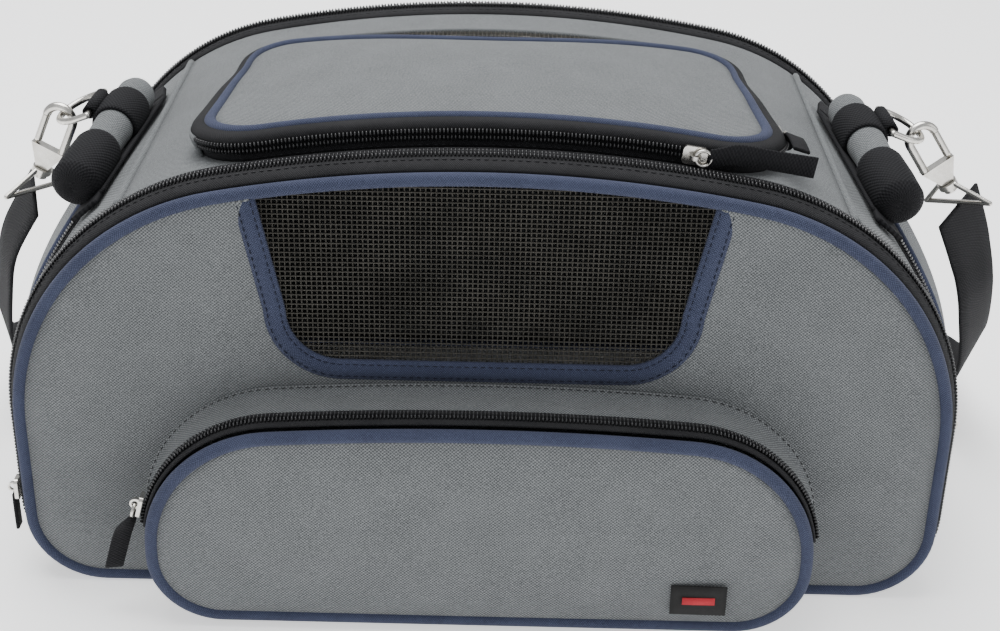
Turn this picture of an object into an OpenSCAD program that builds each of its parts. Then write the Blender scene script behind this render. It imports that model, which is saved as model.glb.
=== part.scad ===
// Soft pet carrier bag: arched body between two zipped wings, raised top flap,
// front pocket, end doors, padded handles and a clipped shoulder strap.
// X runs to the right, Y to the back, Z up. The origin is the centre of the base, on the floor.

/* [Body] */
// Width across the front panel, piping included
body_w = 432; // [370:1:520]
// Height of the arch at its crown
body_h = 215.5; // [180:0.5:260]
// Depth from the front piping to the rear piping
body_d = 244; // [230:1:294]
// Radius of each shoulder of the arch
shoulder_r = 120; // [105:1:122]
// Height of the crown above the top of the shoulder arcs
crown_rise = 9.5; // [7:0.5:14]
// Radius of the lower corners
corner_r = 36; // [28:1:44]
// How far the end walls belly out half way back
side_bulge = 14; // [8:1:17]
// Thickness of the padded fabric walls
wall_t = 3; // [2:0.5:4]

/* [Piping and zips] */
// Radius of the corded piping
piping_r = 3; // [2.5:0.1:3.6]
// Width of one half of a coil, across the zip
coil_w = 2.7; // [2.2:0.1:3.2]
// Height of the coil above its tape
coil_h = 2.8; // [2.2:0.1:3.4]
// Play between the two halves of a zip
zip_gap = 0.4; // [0.3:0.05:0.8]
// Width of each wing's tape band between piping and coil
band_w = 7.6; // [6:0.2:10]
// Thickness of a zip tape
tape_t = 3; // [2:0.5:3.5]

/* [Front window] */
// Half width of the window at its top edge
window_top = 104; // [86:1:112]
// Half width of the window above its lower corners
window_low = 90; // [75:1:96]
// Height of the window's lower edge
window_z = 122; // [118:1:136]
// Radius of the window's lower corners
window_r = 26; // [18:1:32]
// Width of the binding tape round the window
trim_w = 10.5; // [8:0.5:12]
// Thickness of the mesh netting
mesh_t = 0.8; // [0.6:0.1:1]

/* [Pocket] */
// Width of the pocket's face
pocket_w = 304; // [255:1:360]
// Height of the pocket's face above the floor
pocket_h = 107.5; // [100:0.5:108]
// How far the pocket stands proud of the front panel
pocket_d = 37; // [31:1:45]
// Radius of the pocket's upper corners
pocket_r = 62; // [52:1:66]
// Radius of the pocket's lower corners
pocket_corner_r = 34; // [28:1:38]
// Height above the floor where the pocket's zip ends
pocket_zip_z = 50; // [45:1:60]
// Width of the woven label
label_w = 26; // [22:1:31]
// Height of the woven label
label_h = 16; // [13:1:19]

/* [Top flap] */
// Width of the flap, side to side
flap_w = 262; // [220:1:300]
// Depth of the flap, front to back
flap_d = 136; // [114:1:150]
// Corner radius of the flap
flap_r = 32; // [26:1:38]
// How far the flap's face stands above the top panel
flap_rise = 13; // [11:0.5:16]
// Gap between the front zip and the flap
flap_setback = 12; // [10:1:15]
// Depth of the mesh vent behind the flap
vent_d = 24; // [20:1:28]

/* [End doors] */
// Depth of each door, front to back
door_d = 150; // [125:1:170]
// Radius of the door's upper corners
door_r = 44; // [36:1:52]
// Length of fabric between the top seam and the door
door_drop = 21.4; // [18:0.2:26]
// Width of the door's tape band
door_band = 9; // [7:0.5:11]

/* [Handles] */
// Radius of the padded grip
grip_r = 9.5; // [8:0.5:11]
// Length of the padded grip
grip_len = 96; // [80:1:110]
// Width of the front loop along the grip
front_loop_w = 38; // [32:1:44]
// Width of the rear loop along the grip
rear_loop_w = 25; // [21:1:30]
// Thickness of the handle webbing
webbing_t = 2.2; // [1.9:0.1:2.6]
// Wire radius of the D-rings
dring_wire_r = 1.7; // [1.4:0.1:2]
// Half length of a D-ring along its bar
dring_half = 14; // [12:0.5:16]

/* [Shoulder strap] */
// Width of the strap webbing
strap_w = 38; // [32:1:42]
// Thickness of the strap webbing
strap_t = 1.8; // [1.5:0.1:2.2]
// Wire radius of the snap hooks
hook_r = 2.2; // [1.9:0.1:2.4]

/* [Inside] */
// Thickness of the stiff board in the base
board_t = 4; // [3:0.5:5]
// Thickness of the loose cushion
cushion_t = 18; // [14:1:22]
// Radius of the spring wire hoops
hoop_r = 1.5; // [1.2:0.1:1.8]

/* [Hidden] */

$fn = 32;
clearance = 0.3;             // running gap between pieces on different bodies
seam_gap = 0.3;              // between two cloths that are sewn edge to edge
big = 600;                   // larger than the whole bag, for cutting tools

// Colours of the cloths and metals
grey = [0.55, 0.57, 0.58];
navy = [0.2, 0.23, 0.33];
black = [0.08, 0.08, 0.09];
nickel = [0.75, 0.74, 0.7];

// ---------- the arch ----------
arch_cx = body_w / 2 - shoulder_r;
shoulder_z = body_h - crown_rise - shoulder_r;
top_r = (arch_cx * arch_cx + pow(crown_rise + shoulder_r, 2) - shoulder_r * shoulder_r)
    / (2 * crown_rise);

// Depths are measured from the middle of the bag towards either wing
half_d = body_d / 2;                             // middle of the piping
band_y = half_d - piping_r;                      // where the wing's tape band starts
zip_y = band_y - band_w - coil_w - zip_gap / 2;  // middle of the wing's zip
body_tape_w = 7.4;                               // tape between the body's coil and panels
body_y = zip_y - zip_gap / 2 - coil_w - body_tape_w;
zip_end_z = 10;                                  // where the wing zips stop above the floor
in_o = -wall_t / 2;
out_o = wall_t / 2;
coil_o = out_o + 1;                              // foot of a coil on its tape

function arc_pts(x, z, r, a0, a1, n, first = 0) =
    [for (i = [first:n]) let(a = a0 + (a1 - a0) * i / n) [x + r * cos(a), z + r * sin(a)]];

// A bread loaf outline, widened by o: flat foot, round shoulders, slightly crowned top
function loaf(w, h, rs, rise, rc, z0, o, n = 6) =
    let(x = w / 2 - rs, z = h - rise - rs,
        rt = (x * x + pow(rise + rs, 2) - rs * rs) / (2 * rise),
        tip = asin(x / (rt - rs)))
    concat(
        arc_pts(w / 2 - rc, z0 + rc, rc + o, -90, 0, n),
        arc_pts(x, z, rs + o, 0, 90 - tip, n + 2),
        arc_pts(0, h - rt, rt + o, 90 - tip, 90 + tip, n + 2, 1),
        arc_pts(-x, z, rs + o, 90 + tip, 180, n + 2, 1),
        arc_pts(-w / 2 + rc, z0 + rc, rc + o, 180, 270, n));

pocket_rise = 3.5;
pocket_z0 = 3;
function arch(o) = loaf(body_w, body_h, shoulder_r, crown_rise, corner_r, 0, o);
function pocket(o) =
    loaf(pocket_w, pocket_h, pocket_r, pocket_rise, pocket_corner_r, pocket_z0, o);

// Stands an XZ outline up and gives it depth from y0 to y1
module deep(y0, y1) {
    translate([0, y1, 0]) rotate([90, 0, 0]) linear_extrude(y1 - y0) children();
}
module arch_ring(o1, o0) {
    difference() { polygon(arch(o1)); polygon(arch(o0)); }
}
module pocket_ring(o1, o0) {
    difference() { polygon(pocket(o1)); polygon(pocket(o0)); }
}
module above(z) {
    intersection() { children(); translate([-big / 2, z]) square([big, big]); }
}
module below(z) {
    intersection() { children(); translate([-big / 2, z - big]) square([big, big]); }
}
module rounded(w, d, r) {
    square([w - 2 * r, d], center = true);
    square([w, d - 2 * r], center = true);
    for (x = [-1, 1], y = [-1, 1]) translate([x * (w / 2 - r), y * (d / 2 - r)]) circle(r);
}
module front() { mirror([0, 1, 0]) children(); }
module left() { mirror([1, 0, 0]) children(); }
module front_and_rear() { children(); front() children(); }
module both_sides() { children(); left() children(); }

// ---------- lofted solids ----------
function total(v) = v * [for (i = v) 1];
function tri_volume(p, f) = total([for (t = f) p[t[0]] * cross(p[t[1]], p[t[2]])]);
function outward(p, f) = tri_volume(p, f) > 0 ? [for (t = f) [t[2], t[1], t[0]]] : f;

// A solid through equal rings of points; closed joins the last ring to the first
module loft(rows, closed = false) {
    n = len(rows);
    m = len(rows[0]);
    pts = [for (r = rows) each r];
    walls = [for (i = [0:n - (closed ? 1 : 2)], j = [0:m - 1])
        let(a = i * m, b = (i + 1) % n * m, k = (j + 1) % m)
        each [[a + j, a + k, b + k], [a + j, b + k, b + j]]];
    e = (n - 1) * m;
    caps = closed ? [] : [for (j = [1:m - 2]) each [[0, j + 1, j], [e, e + j, e + j + 1]]];
    polyhedron(pts, outward(pts, concat(walls, caps)), convexity = 8);
}

// ---------- the end walls, drawn on the right and mirrored to the left ----------
seam_a = 35;                                     // top seam, in degrees from the crown
shoulder_len = (90 - seam_a) * PI / 180 * shoulder_r;
straight_len = shoulder_z - corner_r;
wall_end_a = 70;                                 // the wall stops here on the lower corner
corner_len = wall_end_a * PI / 180 * corner_r;
side_len = shoulder_len + straight_len + corner_len;

// Point and normal on the plain wall, s millimetres down from the top seam
function wall_pt(s) =
    s < shoulder_len
    ? let(a = seam_a + s / shoulder_r * 180 / PI)
        [arch_cx + shoulder_r * sin(a), shoulder_z + shoulder_r * cos(a), sin(a), cos(a)]
    : s < shoulder_len + straight_len
    ? [body_w / 2, shoulder_z - (s - shoulder_len), 1, 0]
    : let(a = (s - shoulder_len - straight_len) / corner_r * 180 / PI)
        [body_w / 2 - corner_r + corner_r * cos(a), corner_r - corner_r * sin(a), cos(a), -sin(a)];
belly_z0 = 25;                                   // the wall bellies out above this height
belly_z1 = 75;                                   // and fully so above this one
function belly(s, y) =
    let(p = wall_pt(s), up = (p[1] - belly_z0) / (belly_z1 - belly_z0))
    side_bulge * (1 - pow(y / body_y, 2)) * pow(p[2], 4) * max(0, min(1, up));
function skin(q, o) = let(p = wall_pt(q[0]))
    [p[0] + p[2] * o + belly(q[0], q[1]), q[1], p[1] + p[3] * o];

// Rounded rectangle on the wall: r0 on its upper corners, r1 on its lower ones
function between(a, b, n) = [for (i = [1:n]) a + (b - a) * i / (n + 1)];
function wall_loop(s0, s1, h, r0, r1, n = 3, m = 5) = concat(
    [for (s = between(s0 + r0, s1 - r1, m)) [s, h]],
    arc_pts(s1 - r1, h - r1, r1, 90, 0, n),
    [for (y = between(h - r1, r1 - h, m)) [s1, y]],
    arc_pts(s1 - r1, r1 - h, r1, 0, -90, n),
    [for (s = between(s1 - r1, s0 + r0, m)) [s, -h]],
    arc_pts(s0 + r0, r0 - h, r0, 270, 180, n),
    [for (y = between(r0 - h, h - r0, m)) [s0, y]],
    arc_pts(s0 + r0, h - r0, r0, 180, 90, n));

// The door is drawn with its piping as the outer edge, and its zip lies round that
door_zip_w = door_band + 2 * coil_w + zip_gap;
door_s0 = door_drop + door_zip_w;
door_s1 = shoulder_len + straight_len + 8;
door_corner = 14;
function door_loop(o) =
    wall_loop(door_s0 - o, door_s1 + o, door_d / 2 + o, door_r + o, door_corner + o);

module wall_ring(outer, inner, o0, o1, steps = 1) {
    function across(i, k) = outer[i] + (inner[i] - outer[i]) * k / steps;
    loft([for (i = [0:len(outer) - 1]) concat(
        [for (k = [0:steps]) skin(across(i, k), o1)],
        [for (k = [steps:-1:0]) skin(across(i, k), o0)])], closed = true);
}
// A filled plate on the wall between offsets o0 and o1
module wall_plate(loop, o0, o1, rings = 4) {
    n = len(loop);
    mid = [(door_s0 + door_s1) / 2, 0];
    half = rings * n + 1;
    pts = [for (o = [o1, o0]) each concat([skin(mid, o)],
        [for (k = [1:rings], i = [0:n - 1]) skin(mid + (loop[i] - mid) * k / rings, o)])];
    top = concat([for (i = [0:n - 1]) [0, 1 + i, 1 + (i + 1) % n]],
        [for (k = [0:rings - 2], i = [0:n - 1])
            let(a = 1 + k * n, b = a + n, j = (i + 1) % n)
            each [[a + i, b + i, b + j], [a + i, b + j, a + j]]]);
    e = 1 + (rings - 1) * n;
    rim = [for (i = [0:n - 1]) let(j = (i + 1) % n)
        each [[e + i, half + e + i, half + e + j], [e + i, half + e + j, e + j]]];
    under = [for (f = top) [half + f[2], half + f[1], half + f[0]]];
    polyhedron(pts, outward(pts, concat(top, under, rim)), convexity = 8);
}

// ---------- body ----------
base_t = 2.5;
base_w = body_w - 2 * corner_r * (1 - cos(wall_end_a)) - 0.4;
cabin_d = 2 * body_y - 4;

module base_fabric() {
    color([0.3, 0.31, 0.32]) linear_extrude(base_t)
        square([base_w, 2 * band_y - 5], center = true);
}
module base_board() {
    color([0.15, 0.15, 0.16]) translate([0, 0, base_t]) linear_extrude(board_t)
        rounded(base_w - 16, cabin_d - 6, 8);
}
module base_cushion() {
    color([0.6, 0.61, 0.62]) translate([0, 0, base_t + board_t])
        linear_extrude(cushion_t) rounded(base_w - 20, cabin_d - 10, 16);
}

flap_y0 = flap_setback - zip_y;
flap_y1 = flap_y0 + flap_d;
flap_mid = (flap_y0 + flap_y1) / 2;
vent_y0 = flap_y1 + 8;
vent_y1 = min(vent_y0 + vent_d, body_y - 5);
vent_w = 2 * arch_cx - 6;

// Everything over the flap's outline grown by o
module flap_column(o) {
    translate([0, flap_mid, shoulder_z]) linear_extrude(big)
        rounded(flap_w + 2 * o, flap_d + 2 * o, flap_r + o);
}
module seam_wedge() {
    far = [arch_cx + big * sin(seam_a), shoulder_z + big * cos(seam_a)];
    polygon([[arch_cx, shoulder_z], far, [-far[0], far[1]], [-arch_cx, shoulder_z]]);
}
module top_panel() {
    color(grey) difference() {
        deep(-body_y, body_y) intersection() { arch_ring(out_o, in_o); seam_wedge(); }
        flap_column(-tape_t - 2);
        translate([-vent_w / 2, vent_y0, 0]) cube([vent_w, vent_y1 - vent_y0, big]);
    }
}
module top_rear_mesh() {
    color(black) deep(vent_y0, vent_y1) intersection() {
        arch_ring(mesh_t / 2, -mesh_t / 2);
        translate([-vent_w / 2, shoulder_z]) square([vent_w, big]);
    }
}
module end_panel() {
    color(grey) wall_ring(wall_loop(0, side_len, body_y, 1, 1), door_loop(door_zip_w + seam_gap),
        in_o, out_o, steps = 3);
}
module right_end_panel() { end_panel(); }
module left_end_panel() { left() end_panel(); }

hoop_y = body_y + 2;
module wire_hoops() {
    color(nickel) front_and_rear() deep(hoop_y, hoop_y + 2 * hoop_r) above(base_t)
        arch_ring(in_o - clearance, in_o - clearance - 2 * hoop_r);
}
module wing_body_coils() {
    color(black) front_and_rear()
        deep(zip_y - zip_gap / 2 - coil_w, zip_y - zip_gap / 2) above(zip_end_z)
        arch_ring(coil_o + coil_h, coil_o);
}
module wing_body_tapes() {
    color(black) front_and_rear()
        deep(body_y, zip_y - zip_gap / 2 - coil_w) above(zip_end_z)
        arch_ring(coil_o + 0.5, out_o - 0.5);
}

// The raised flap stands on a wall of tape: the lower half with its coil stays on the body
wall_split = flap_rise / 2;
module flap_wall(o1, o0, h0, h1) {
    difference() {
        intersection() {
            deep(flap_y0 - 10, flap_y1 + 10) arch_ring(out_o + h1, out_o + h0);
            flap_column(o1);
        }
        flap_column(o0);
    }
}
// The left side is the flap's fabric hinge and has no coil
module off_hinge() {
    intersection() {
        children();
        translate([flap_r - flap_w / 2, -big / 2, 0]) cube(big);
    }
}
module top_body_zip() {
    color(black) {
        flap_wall(0, -tape_t, 0, wall_split - zip_gap / 2);
        off_hinge() flap_wall(coil_h - 1, 0, wall_split - coil_w - zip_gap / 2,
            wall_split - zip_gap / 2);
    }
}
module top_flap_zip() {
    color(black) {
        flap_wall(0, -tape_t, wall_split + zip_gap / 2, flap_rise - 2 * piping_r);
        off_hinge() flap_wall(coil_h - 1, 0, wall_split + zip_gap / 2,
            wall_split + zip_gap / 2 + coil_w);
    }
}
module top_flap_piping() {
    color(navy) flap_wall(0, -2 * piping_r, max(wall_split + zip_gap / 2 + 0.1,
        flap_rise - 2 * piping_r), flap_rise);
}
module top_flap_panel() {
    color(grey) intersection() {
        deep(flap_y0, flap_y1) arch_ring(out_o + flap_rise - 1, out_o + flap_rise - 1 - wall_t);
        flap_column(-2 * piping_r);
    }
}

module door_body_zip() {
    color(black) wall_ring(door_loop(door_zip_w), door_loop(door_zip_w - coil_w), in_o,
        out_o + 1.5);
}
module door_body_zips() { both_sides() door_body_zip(); }
module door_trim() {
    color(black) wall_ring(door_loop(door_band + coil_w), door_loop(seam_gap), in_o, out_o + 1.5);
}
module door_panel() {
    color(grey) wall_plate(door_loop(0), in_o, out_o);
}
module right_door_panel() { door_panel(); }
module left_door_panel() { left() door_panel(); }
module right_door_trim() { door_trim(); }
module left_door_trim() { left() door_trim(); }

// ---------- wings ----------
gusset_o = -3;                                   // stowed mesh gusset, inside the bands
module gusset() {
    color(black) deep(hoop_y + 2 * hoop_r + 1, band_y) arch_ring(gusset_o, gusset_o - mesh_t);
}
module front_gusset() { front() gusset(); }
module rear_gusset() { gusset(); }

// The window grown by o, open at the top
module window(o) {
    top = body_h + 8;
    side = concat([[window_top + o + 2, top]],
        arc_pts(window_low - window_r, window_z + window_r, window_r + o, 0, -90, 6));
    n = len(side) - 1;
    polygon(concat(side, [for (i = [0:n]) [-side[n - i][0], side[n - i][1]]]));
}
module wing_panel() {
    color(grey) deep(half_d + in_o, half_d + out_o) difference() {
        polygon(arch(-2 * piping_r));
        window(0);
    }
}
module wing_mesh() {
    color(black) deep(half_d - mesh_t / 2, half_d + mesh_t / 2) intersection() {
        polygon(arch(-2 * piping_r));
        window(0);
    }
}
trim_t = 1;
trim_lap = 2;                                    // how far the binding covers the mesh
module window_trim() {
    color(navy) deep(half_d + out_o, half_d + out_o + trim_t) intersection() {
        polygon(arch(-2 * piping_r));
        difference() { window(trim_w - trim_lap); window(-trim_lap); }
    }
}
module wing_piping() {
    color(navy) deep(band_y, half_d + piping_r) arch_ring(0, -2 * piping_r);
}
module wing_zip() {
    color(black) {
        deep(band_y - band_w, band_y) above(zip_end_z) arch_ring(coil_o + 0.5, out_o - tape_t);
        deep(zip_y + zip_gap / 2, band_y - band_w) above(zip_end_z)
            arch_ring(coil_o + coil_h, coil_o);
    }
}
module front_panel() { front() wing_panel(); }
module front_mesh() { front() wing_mesh(); }
module front_window_trim() { front() window_trim(); }
module front_piping() { front() wing_piping(); }
module front_wing_zip() { front() wing_zip(); }
module rear_panel() { wing_panel(); }
module rear_mesh() { wing_mesh(); }
module rear_window_trim() { window_trim(); }
module rear_piping() { wing_piping(); }
module rear_wing_zip() { wing_zip(); }

// ---------- pocket ----------
pocket_y0 = half_d + out_o;
pocket_y1 = half_d + pocket_d;                   // front of the face piping
pocket_face_y = pocket_y1 - 2 * piping_r;
pocket_tape = 3;
pocket_coil_y = pocket_face_y - pocket_tape - coil_w;
pocket_split = pocket_coil_y - zip_gap;
module pocket_gusset() {
    color(grey) front() {
        deep(pocket_y0, half_d + piping_r) above(2 * piping_r) pocket_ring(out_o, in_o);
        deep(half_d + piping_r, pocket_split - coil_w - pocket_tape) pocket_ring(out_o, in_o);
        deep(pocket_split - coil_w - pocket_tape, pocket_face_y)
            below(pocket_zip_z) pocket_ring(out_o, in_o);
    }
}
module pocket_rear_zip() {
    color(black) front() {
        deep(pocket_split - coil_w - pocket_tape, pocket_split - coil_w)
            above(pocket_zip_z) pocket_ring(out_o, in_o);
        deep(pocket_split - coil_w, pocket_split)
            above(pocket_zip_z) pocket_ring(out_o + coil_h - 0.5, out_o - 0.5);
    }
}
module pocket_front_zip() {
    color(black) front() {
        deep(pocket_coil_y, pocket_coil_y + coil_w)
            above(pocket_zip_z) pocket_ring(out_o + coil_h - 0.5, out_o - 0.5);
        deep(pocket_coil_y + coil_w, pocket_face_y)
            above(pocket_zip_z) pocket_ring(out_o, in_o);
    }
}
module pocket_piping() {
    color(navy) front() deep(pocket_face_y, pocket_y1) pocket_ring(0, -2 * piping_r);
}
module pocket_face() {
    color(grey) front() deep(pocket_y1 - piping_r + in_o, pocket_y1 - piping_r + out_o)
        polygon(pocket(-2 * piping_r));
}
label_x = 101;
label_z = 22.5;
module label_patch() {
    color(black) front() deep(pocket_y1 - piping_r + out_o, pocket_y1 - piping_r + out_o + 1)
        translate([label_x, label_z]) square([label_w, label_h], center = true);
}

// ---------- handles, drawn on the right and mirrored to the left ----------
grip_a = 41.2;                                   // lean of the handle from upright
grip_yaw = 10;                                   // the grip closes in towards the back
grip_pitch = 6.5;                                // and dips to the front with the shoulder
grip_off = grip_r + webbing_t + 4.4;                        // grip's axis above the plain wall
grip_mid = [arch_cx + (shoulder_r + grip_off) * sin(grip_a), -16,
    shoulder_z + (shoulder_r + grip_off) * cos(grip_a)];
loop_r = grip_r + webbing_t;
foot_r = 2.6;                                    // folded end of the webbing at the bag
foot_front = skin([21.4, -78], out_o + foot_r + 0.4);
foot_rear = skin([10.4, 56], out_o + foot_r + 0.9);
dring_y = 18;                                    // along the grip, from its middle
dring_x = 5;
dring_z = sqrt(pow(loop_r + dring_wire_r + 0.6, 2) - dring_x * dring_x);
tunnel_r = dring_wire_r + 0.3;

// Local Y runs back along the grip, local Z points away from the bag
module on_grip() {
    translate(grip_mid) rotate([0, 0, grip_yaw]) rotate([0, grip_a, 0])
        rotate([grip_pitch, 0, 0]) children();
}
module along_y(y0, y1, r) {
    translate([0, y1, 0]) rotate([90, 0, 0]) cylinder(y1 - y0, r, r);
}
module grip() {
    color(grey) on_grip() along_y(-grip_len / 2, grip_len / 2, grip_r);
}
module sleeve(y0, y1) {
    difference() {
        along_y(y0, y1, loop_r);
        along_y(y0 - 1, y1 + 1, grip_r);
    }
}
front_loop_y = -grip_len / 2 - 8;
module handle_webbing() {
    strip_z = -loop_r;
    strip_w = 15;
    color(black) {
        difference() {
            union() {
                on_grip() {
                    sleeve(front_loop_y, front_loop_y + front_loop_w);
                    sleeve(dring_y - rear_loop_w / 2, dring_y + rear_loop_w / 2);
                    translate([-strip_w / 2, front_loop_y + 0.5, strip_z + 0.1])
                        cube([strip_w, grip_len + 12, webbing_t - 0.3]);
                    translate([dring_x, 0, dring_z])
                        along_y(dring_y - 11, dring_y + 11, tunnel_r + 1.6);
                }
                hull() {
                    translate(foot_front) sphere(foot_r, $fn = 16);
                    on_grip() translate([2, front_loop_y + 4, strip_z + 1.8]) sphere(1.2, $fn = 16);
                }
                hull() {
                    translate(foot_rear) sphere(foot_r, $fn = 16);
                    on_grip() translate([0, grip_len / 2 + 4, strip_z + 0.8]) sphere(1.2, $fn = 16);
                }
            }
            on_grip() translate([dring_x, 0, dring_z])
                along_y(dring_y - 12, dring_y + 12, tunnel_r);
        }
    }
}
module right_grip() { grip(); }
module left_grip() { left() grip(); }
module right_handle_webbing() { handle_webbing(); }
module left_handle_webbing() { left() handle_webbing(); }

// The ring hangs from the bar in its tunnel and leans out by dring_lean below level
dring_lean = 22;
dring_leg = 6;
module on_dring() {
    on_grip() translate([dring_x, dring_y, dring_z]) rotate([0, dring_lean - grip_a, 0]) children();
}
module dring() {
    color(nickel) on_dring() {
        along_y(-dring_half, dring_half, dring_wire_r);
        for (y = [-1, 1]) translate([0, y * dring_half, 0]) rotate([0, 90, 0])
            cylinder(dring_leg, dring_wire_r, dring_wire_r);
        translate([dring_leg, 0, 0]) rotate([0, 0, -90]) rotate_extrude(angle = 180)
            translate([dring_half, 0]) circle(dring_wire_r, $fn = 20);
        for (y = [-1, 1]) translate([0, y * dring_half, 0]) sphere(dring_wire_r, $fn = 20);
    }
}
module right_dring() { dring(); }
module left_dring() { left() dring(); }

// ---------- snap hooks: local Z runs up the hook, its origin is on the D-ring's wire ----------
hook_lean = 34;                                  // lean of the right hook from upright
left_hook_lean = 24;
eye_r = 7;                                       // centre line of the hook's bow
eye_z = dring_wire_r + 0.4 + hook_r - eye_r;     // centre of the bow
arm_len = 17;
stem_r = 2;
stem_z = eye_z - arm_len - 12;                   // top of the swivel collar
collar_h = 3;
bail_z = stem_z - 14;                            // bar that the strap turns round
reach = dring_leg + dring_half;                  // bar to tip of the D-ring
cy = cos(grip_yaw);
sy = sin(grip_yaw);
// Centre of the D-ring's tip in the bag's frame
function turned(v) = [cy * v[0] - sy * v[1], sy * v[0] + cy * v[1], v[2]];
function leaned(v) =
    [v[0] * cos(grip_a) + v[2] * sin(grip_a), v[1], v[2] * cos(grip_a) - v[0] * sin(grip_a)];
function pitched(v) =
    [v[0], v[1] * cos(grip_pitch) - v[2] * sin(grip_pitch),
        v[1] * sin(grip_pitch) + v[2] * cos(grip_pitch)];
function from_grip(v) = turned(leaned(pitched(v)));
dring_bar = grip_mid + from_grip([dring_x, dring_y, dring_z]);
dring_out = dring_lean - grip_a;
dring_tip = dring_bar + from_grip([reach * cos(dring_out), 0, -reach * sin(dring_out)]);
bar_axis = from_grip([0, 1, 0]);

module on_hook(lean) {
    translate(dring_tip) rotate([0, 0, grip_yaw]) rotate([0, -lean, 0]) children();
}
module hook(lean) {
    color(nickel) on_hook(lean) {
        translate([0, 0, eye_z]) rotate([90, 0, 0]) rotate_extrude(angle = 180)
            translate([eye_r, 0]) circle(hook_r, $fn = 20);
        translate([-eye_r, 0, eye_z - arm_len]) cylinder(arm_len, hook_r, hook_r);
        translate([0, 2.5, 0]) rotate([90, 0, 0]) linear_extrude(5)
            polygon([[-eye_r - hook_r, eye_z - arm_len], [eye_r + hook_r, eye_z - arm_len],
                [3.2, stem_z + 0.3], [-3.2, stem_z + 0.3]]);
        translate([0, 0, stem_z - collar_h - 0.6]) cylinder(collar_h + 2, stem_r, stem_r);
        translate([0, 0, stem_z - collar_h - 2.6]) cylinder(2.3, 3.4, 3.4);
    }
}
gate_r = 1.9;
gate_z = eye_z - arm_len + gate_r + clearance;   // the gate's pivot
module gate(lean) {
    color(nickel) on_hook(lean) translate([eye_r, 0, gate_z]) {
        sphere(gate_r);
        cylinder(eye_z - gate_z - 0.5, gate_r, gate_r);
    }
}
module bail(lean, turn) {
    color(nickel) on_hook(lean) rotate([0, 0, turn]) {
        difference() {
            translate([0, 0, stem_z - collar_h]) cylinder(collar_h, 5, 5);
            translate([0, 0, stem_z - collar_h - 1]) cylinder(collar_h + 2, stem_r + 0.2,
                stem_r + 0.2);
        }
        for (s = [-1, 1]) hull() {
            translate([0, s * 4.6, stem_z - collar_h / 2]) sphere(1.3, $fn = 12);
            translate([0, s * (strap_w / 2 + 1.5), bail_z]) sphere(1.3, $fn = 12);
        }
        along_y_at(bail_z, strap_w / 2 + 1.5, 1.3);
    }
}
module along_y_at(z, half, r) {
    translate([0, 0, z]) along_y(-half, half, r);
}
bail_turn = 32;                                  // the right bail faces the front
left_bail_turn = 20;
module right_hook() { hook(hook_lean); }
module left_hook() { left() hook(left_hook_lean); }
module right_gate() { gate(hook_lean); }
module left_gate() { left() gate(left_hook_lean); }
module strap_swivel_loops() {
    bail(hook_lean, bail_turn);
    left() bail(left_hook_lean, left_bail_turn);
}

// ---------- shoulder strap ----------
// Middle of each bail's bar, on its own side
function bail_at(lean) = dring_tip + turned([-bail_z * sin(lean), 0, bail_z * cos(lean)]);
strap_start = bail_at(hook_lean);
strap_end = let(p = bail_at(left_hook_lean)) [-p[0], p[1], p[2]];
back_y = half_d + piping_r + 45;                 // middle of the webbing behind the bag
// Centre points of the webbing, each with the direction across its width
strap_route = [
    [strap_start + [0.5, 0, -1.8], [0.7, 0.7, 0]],
    [strap_start + [12, 4, -30], [0.68, 0.73, 0]],
    [[258, 12, 95], [0.62, 0.78, 0]],
    [[264, 26, 58], [0.5, 0.86, 0.05]],
    [[262, 52, 28], [0.35, 0.9, 0.25]],
    [[258, 92, 15], [0.5, 0.8, 0.5]],
    [[246, 136, 7], [0.85, 0.5, 0.2]],
    [[212, back_y - 3, 1.7], [0.3, 0.95, 0]],
    [[170, back_y, 1.7], [0.05, 1, 0]],
    [[90, back_y, 1.7], [0, 1, 0]],
    [[0, back_y, 1.7], [0, 1, 0]],
    [[-90, back_y, 1.7], [0, 1, 0]],
    [[-170, back_y, 1.7], [-0.05, 1, 0]],
    [[-212, back_y - 3, 1.7], [-0.3, 0.95, 0]],
    [[-246, 136, 7], [-0.85, 0.5, 0.2]],
    [[-258, 92, 15], [-0.5, 0.8, 0.5]],
    [[-262, 52, 28], [-0.35, 0.9, 0.25]],
    [[-262, 26, 58], [-0.4, 0.9, 0.05]],
    [[-255, 12, 95], [-0.4, 0.91, 0]],
    [strap_end + [-17, 4, -30], [-0.42, 0.9, 0]],
    [strap_end + [-0.5, 0, -1.8], [-0.42, 0.9, 0]]
];
function unit(v) = v / norm(v);
function spline(p0, p1, p2, p3, t) = 0.5 * ((2 * p1) + (p2 - p0) * t
    + (2 * p0 - 5 * p1 + 4 * p2 - p3) * t * t + (3 * p1 - p0 - 3 * p2 + p3) * t * t * t);
function route(i, k) = strap_route[max(0, min(len(strap_route) - 1, i))][k];
strap_steps = 3;
strap_count = (len(strap_route) - 1) * strap_steps;
function strap_at(j, k) = let(i = floor(j / strap_steps), t = j / strap_steps - i)
    spline(route(i - 1, k), route(i, k), route(i + 1, k), route(i + 2, k), t);
function strap_row(j) =
    let(c = strap_at(j, 0), ahead = strap_at(min(j + 1, strap_count), 0),
        behind = strap_at(max(j - 1, 0), 0), run = unit(ahead - behind),
        raw = unit(strap_at(j, 1)), across = unit(raw - run * (raw * run)),
        face = cross(run, across) * strap_t / 2, w = across * strap_w / 2)
    [c + w + face, c + w - face, c - w - face, c - w + face];
module shoulder_strap() {
    color(black) loft([for (j = [0:strap_count]) strap_row(j)]);
}
adjuster_w = strap_w + 8;
adjuster_d = 12;
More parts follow.
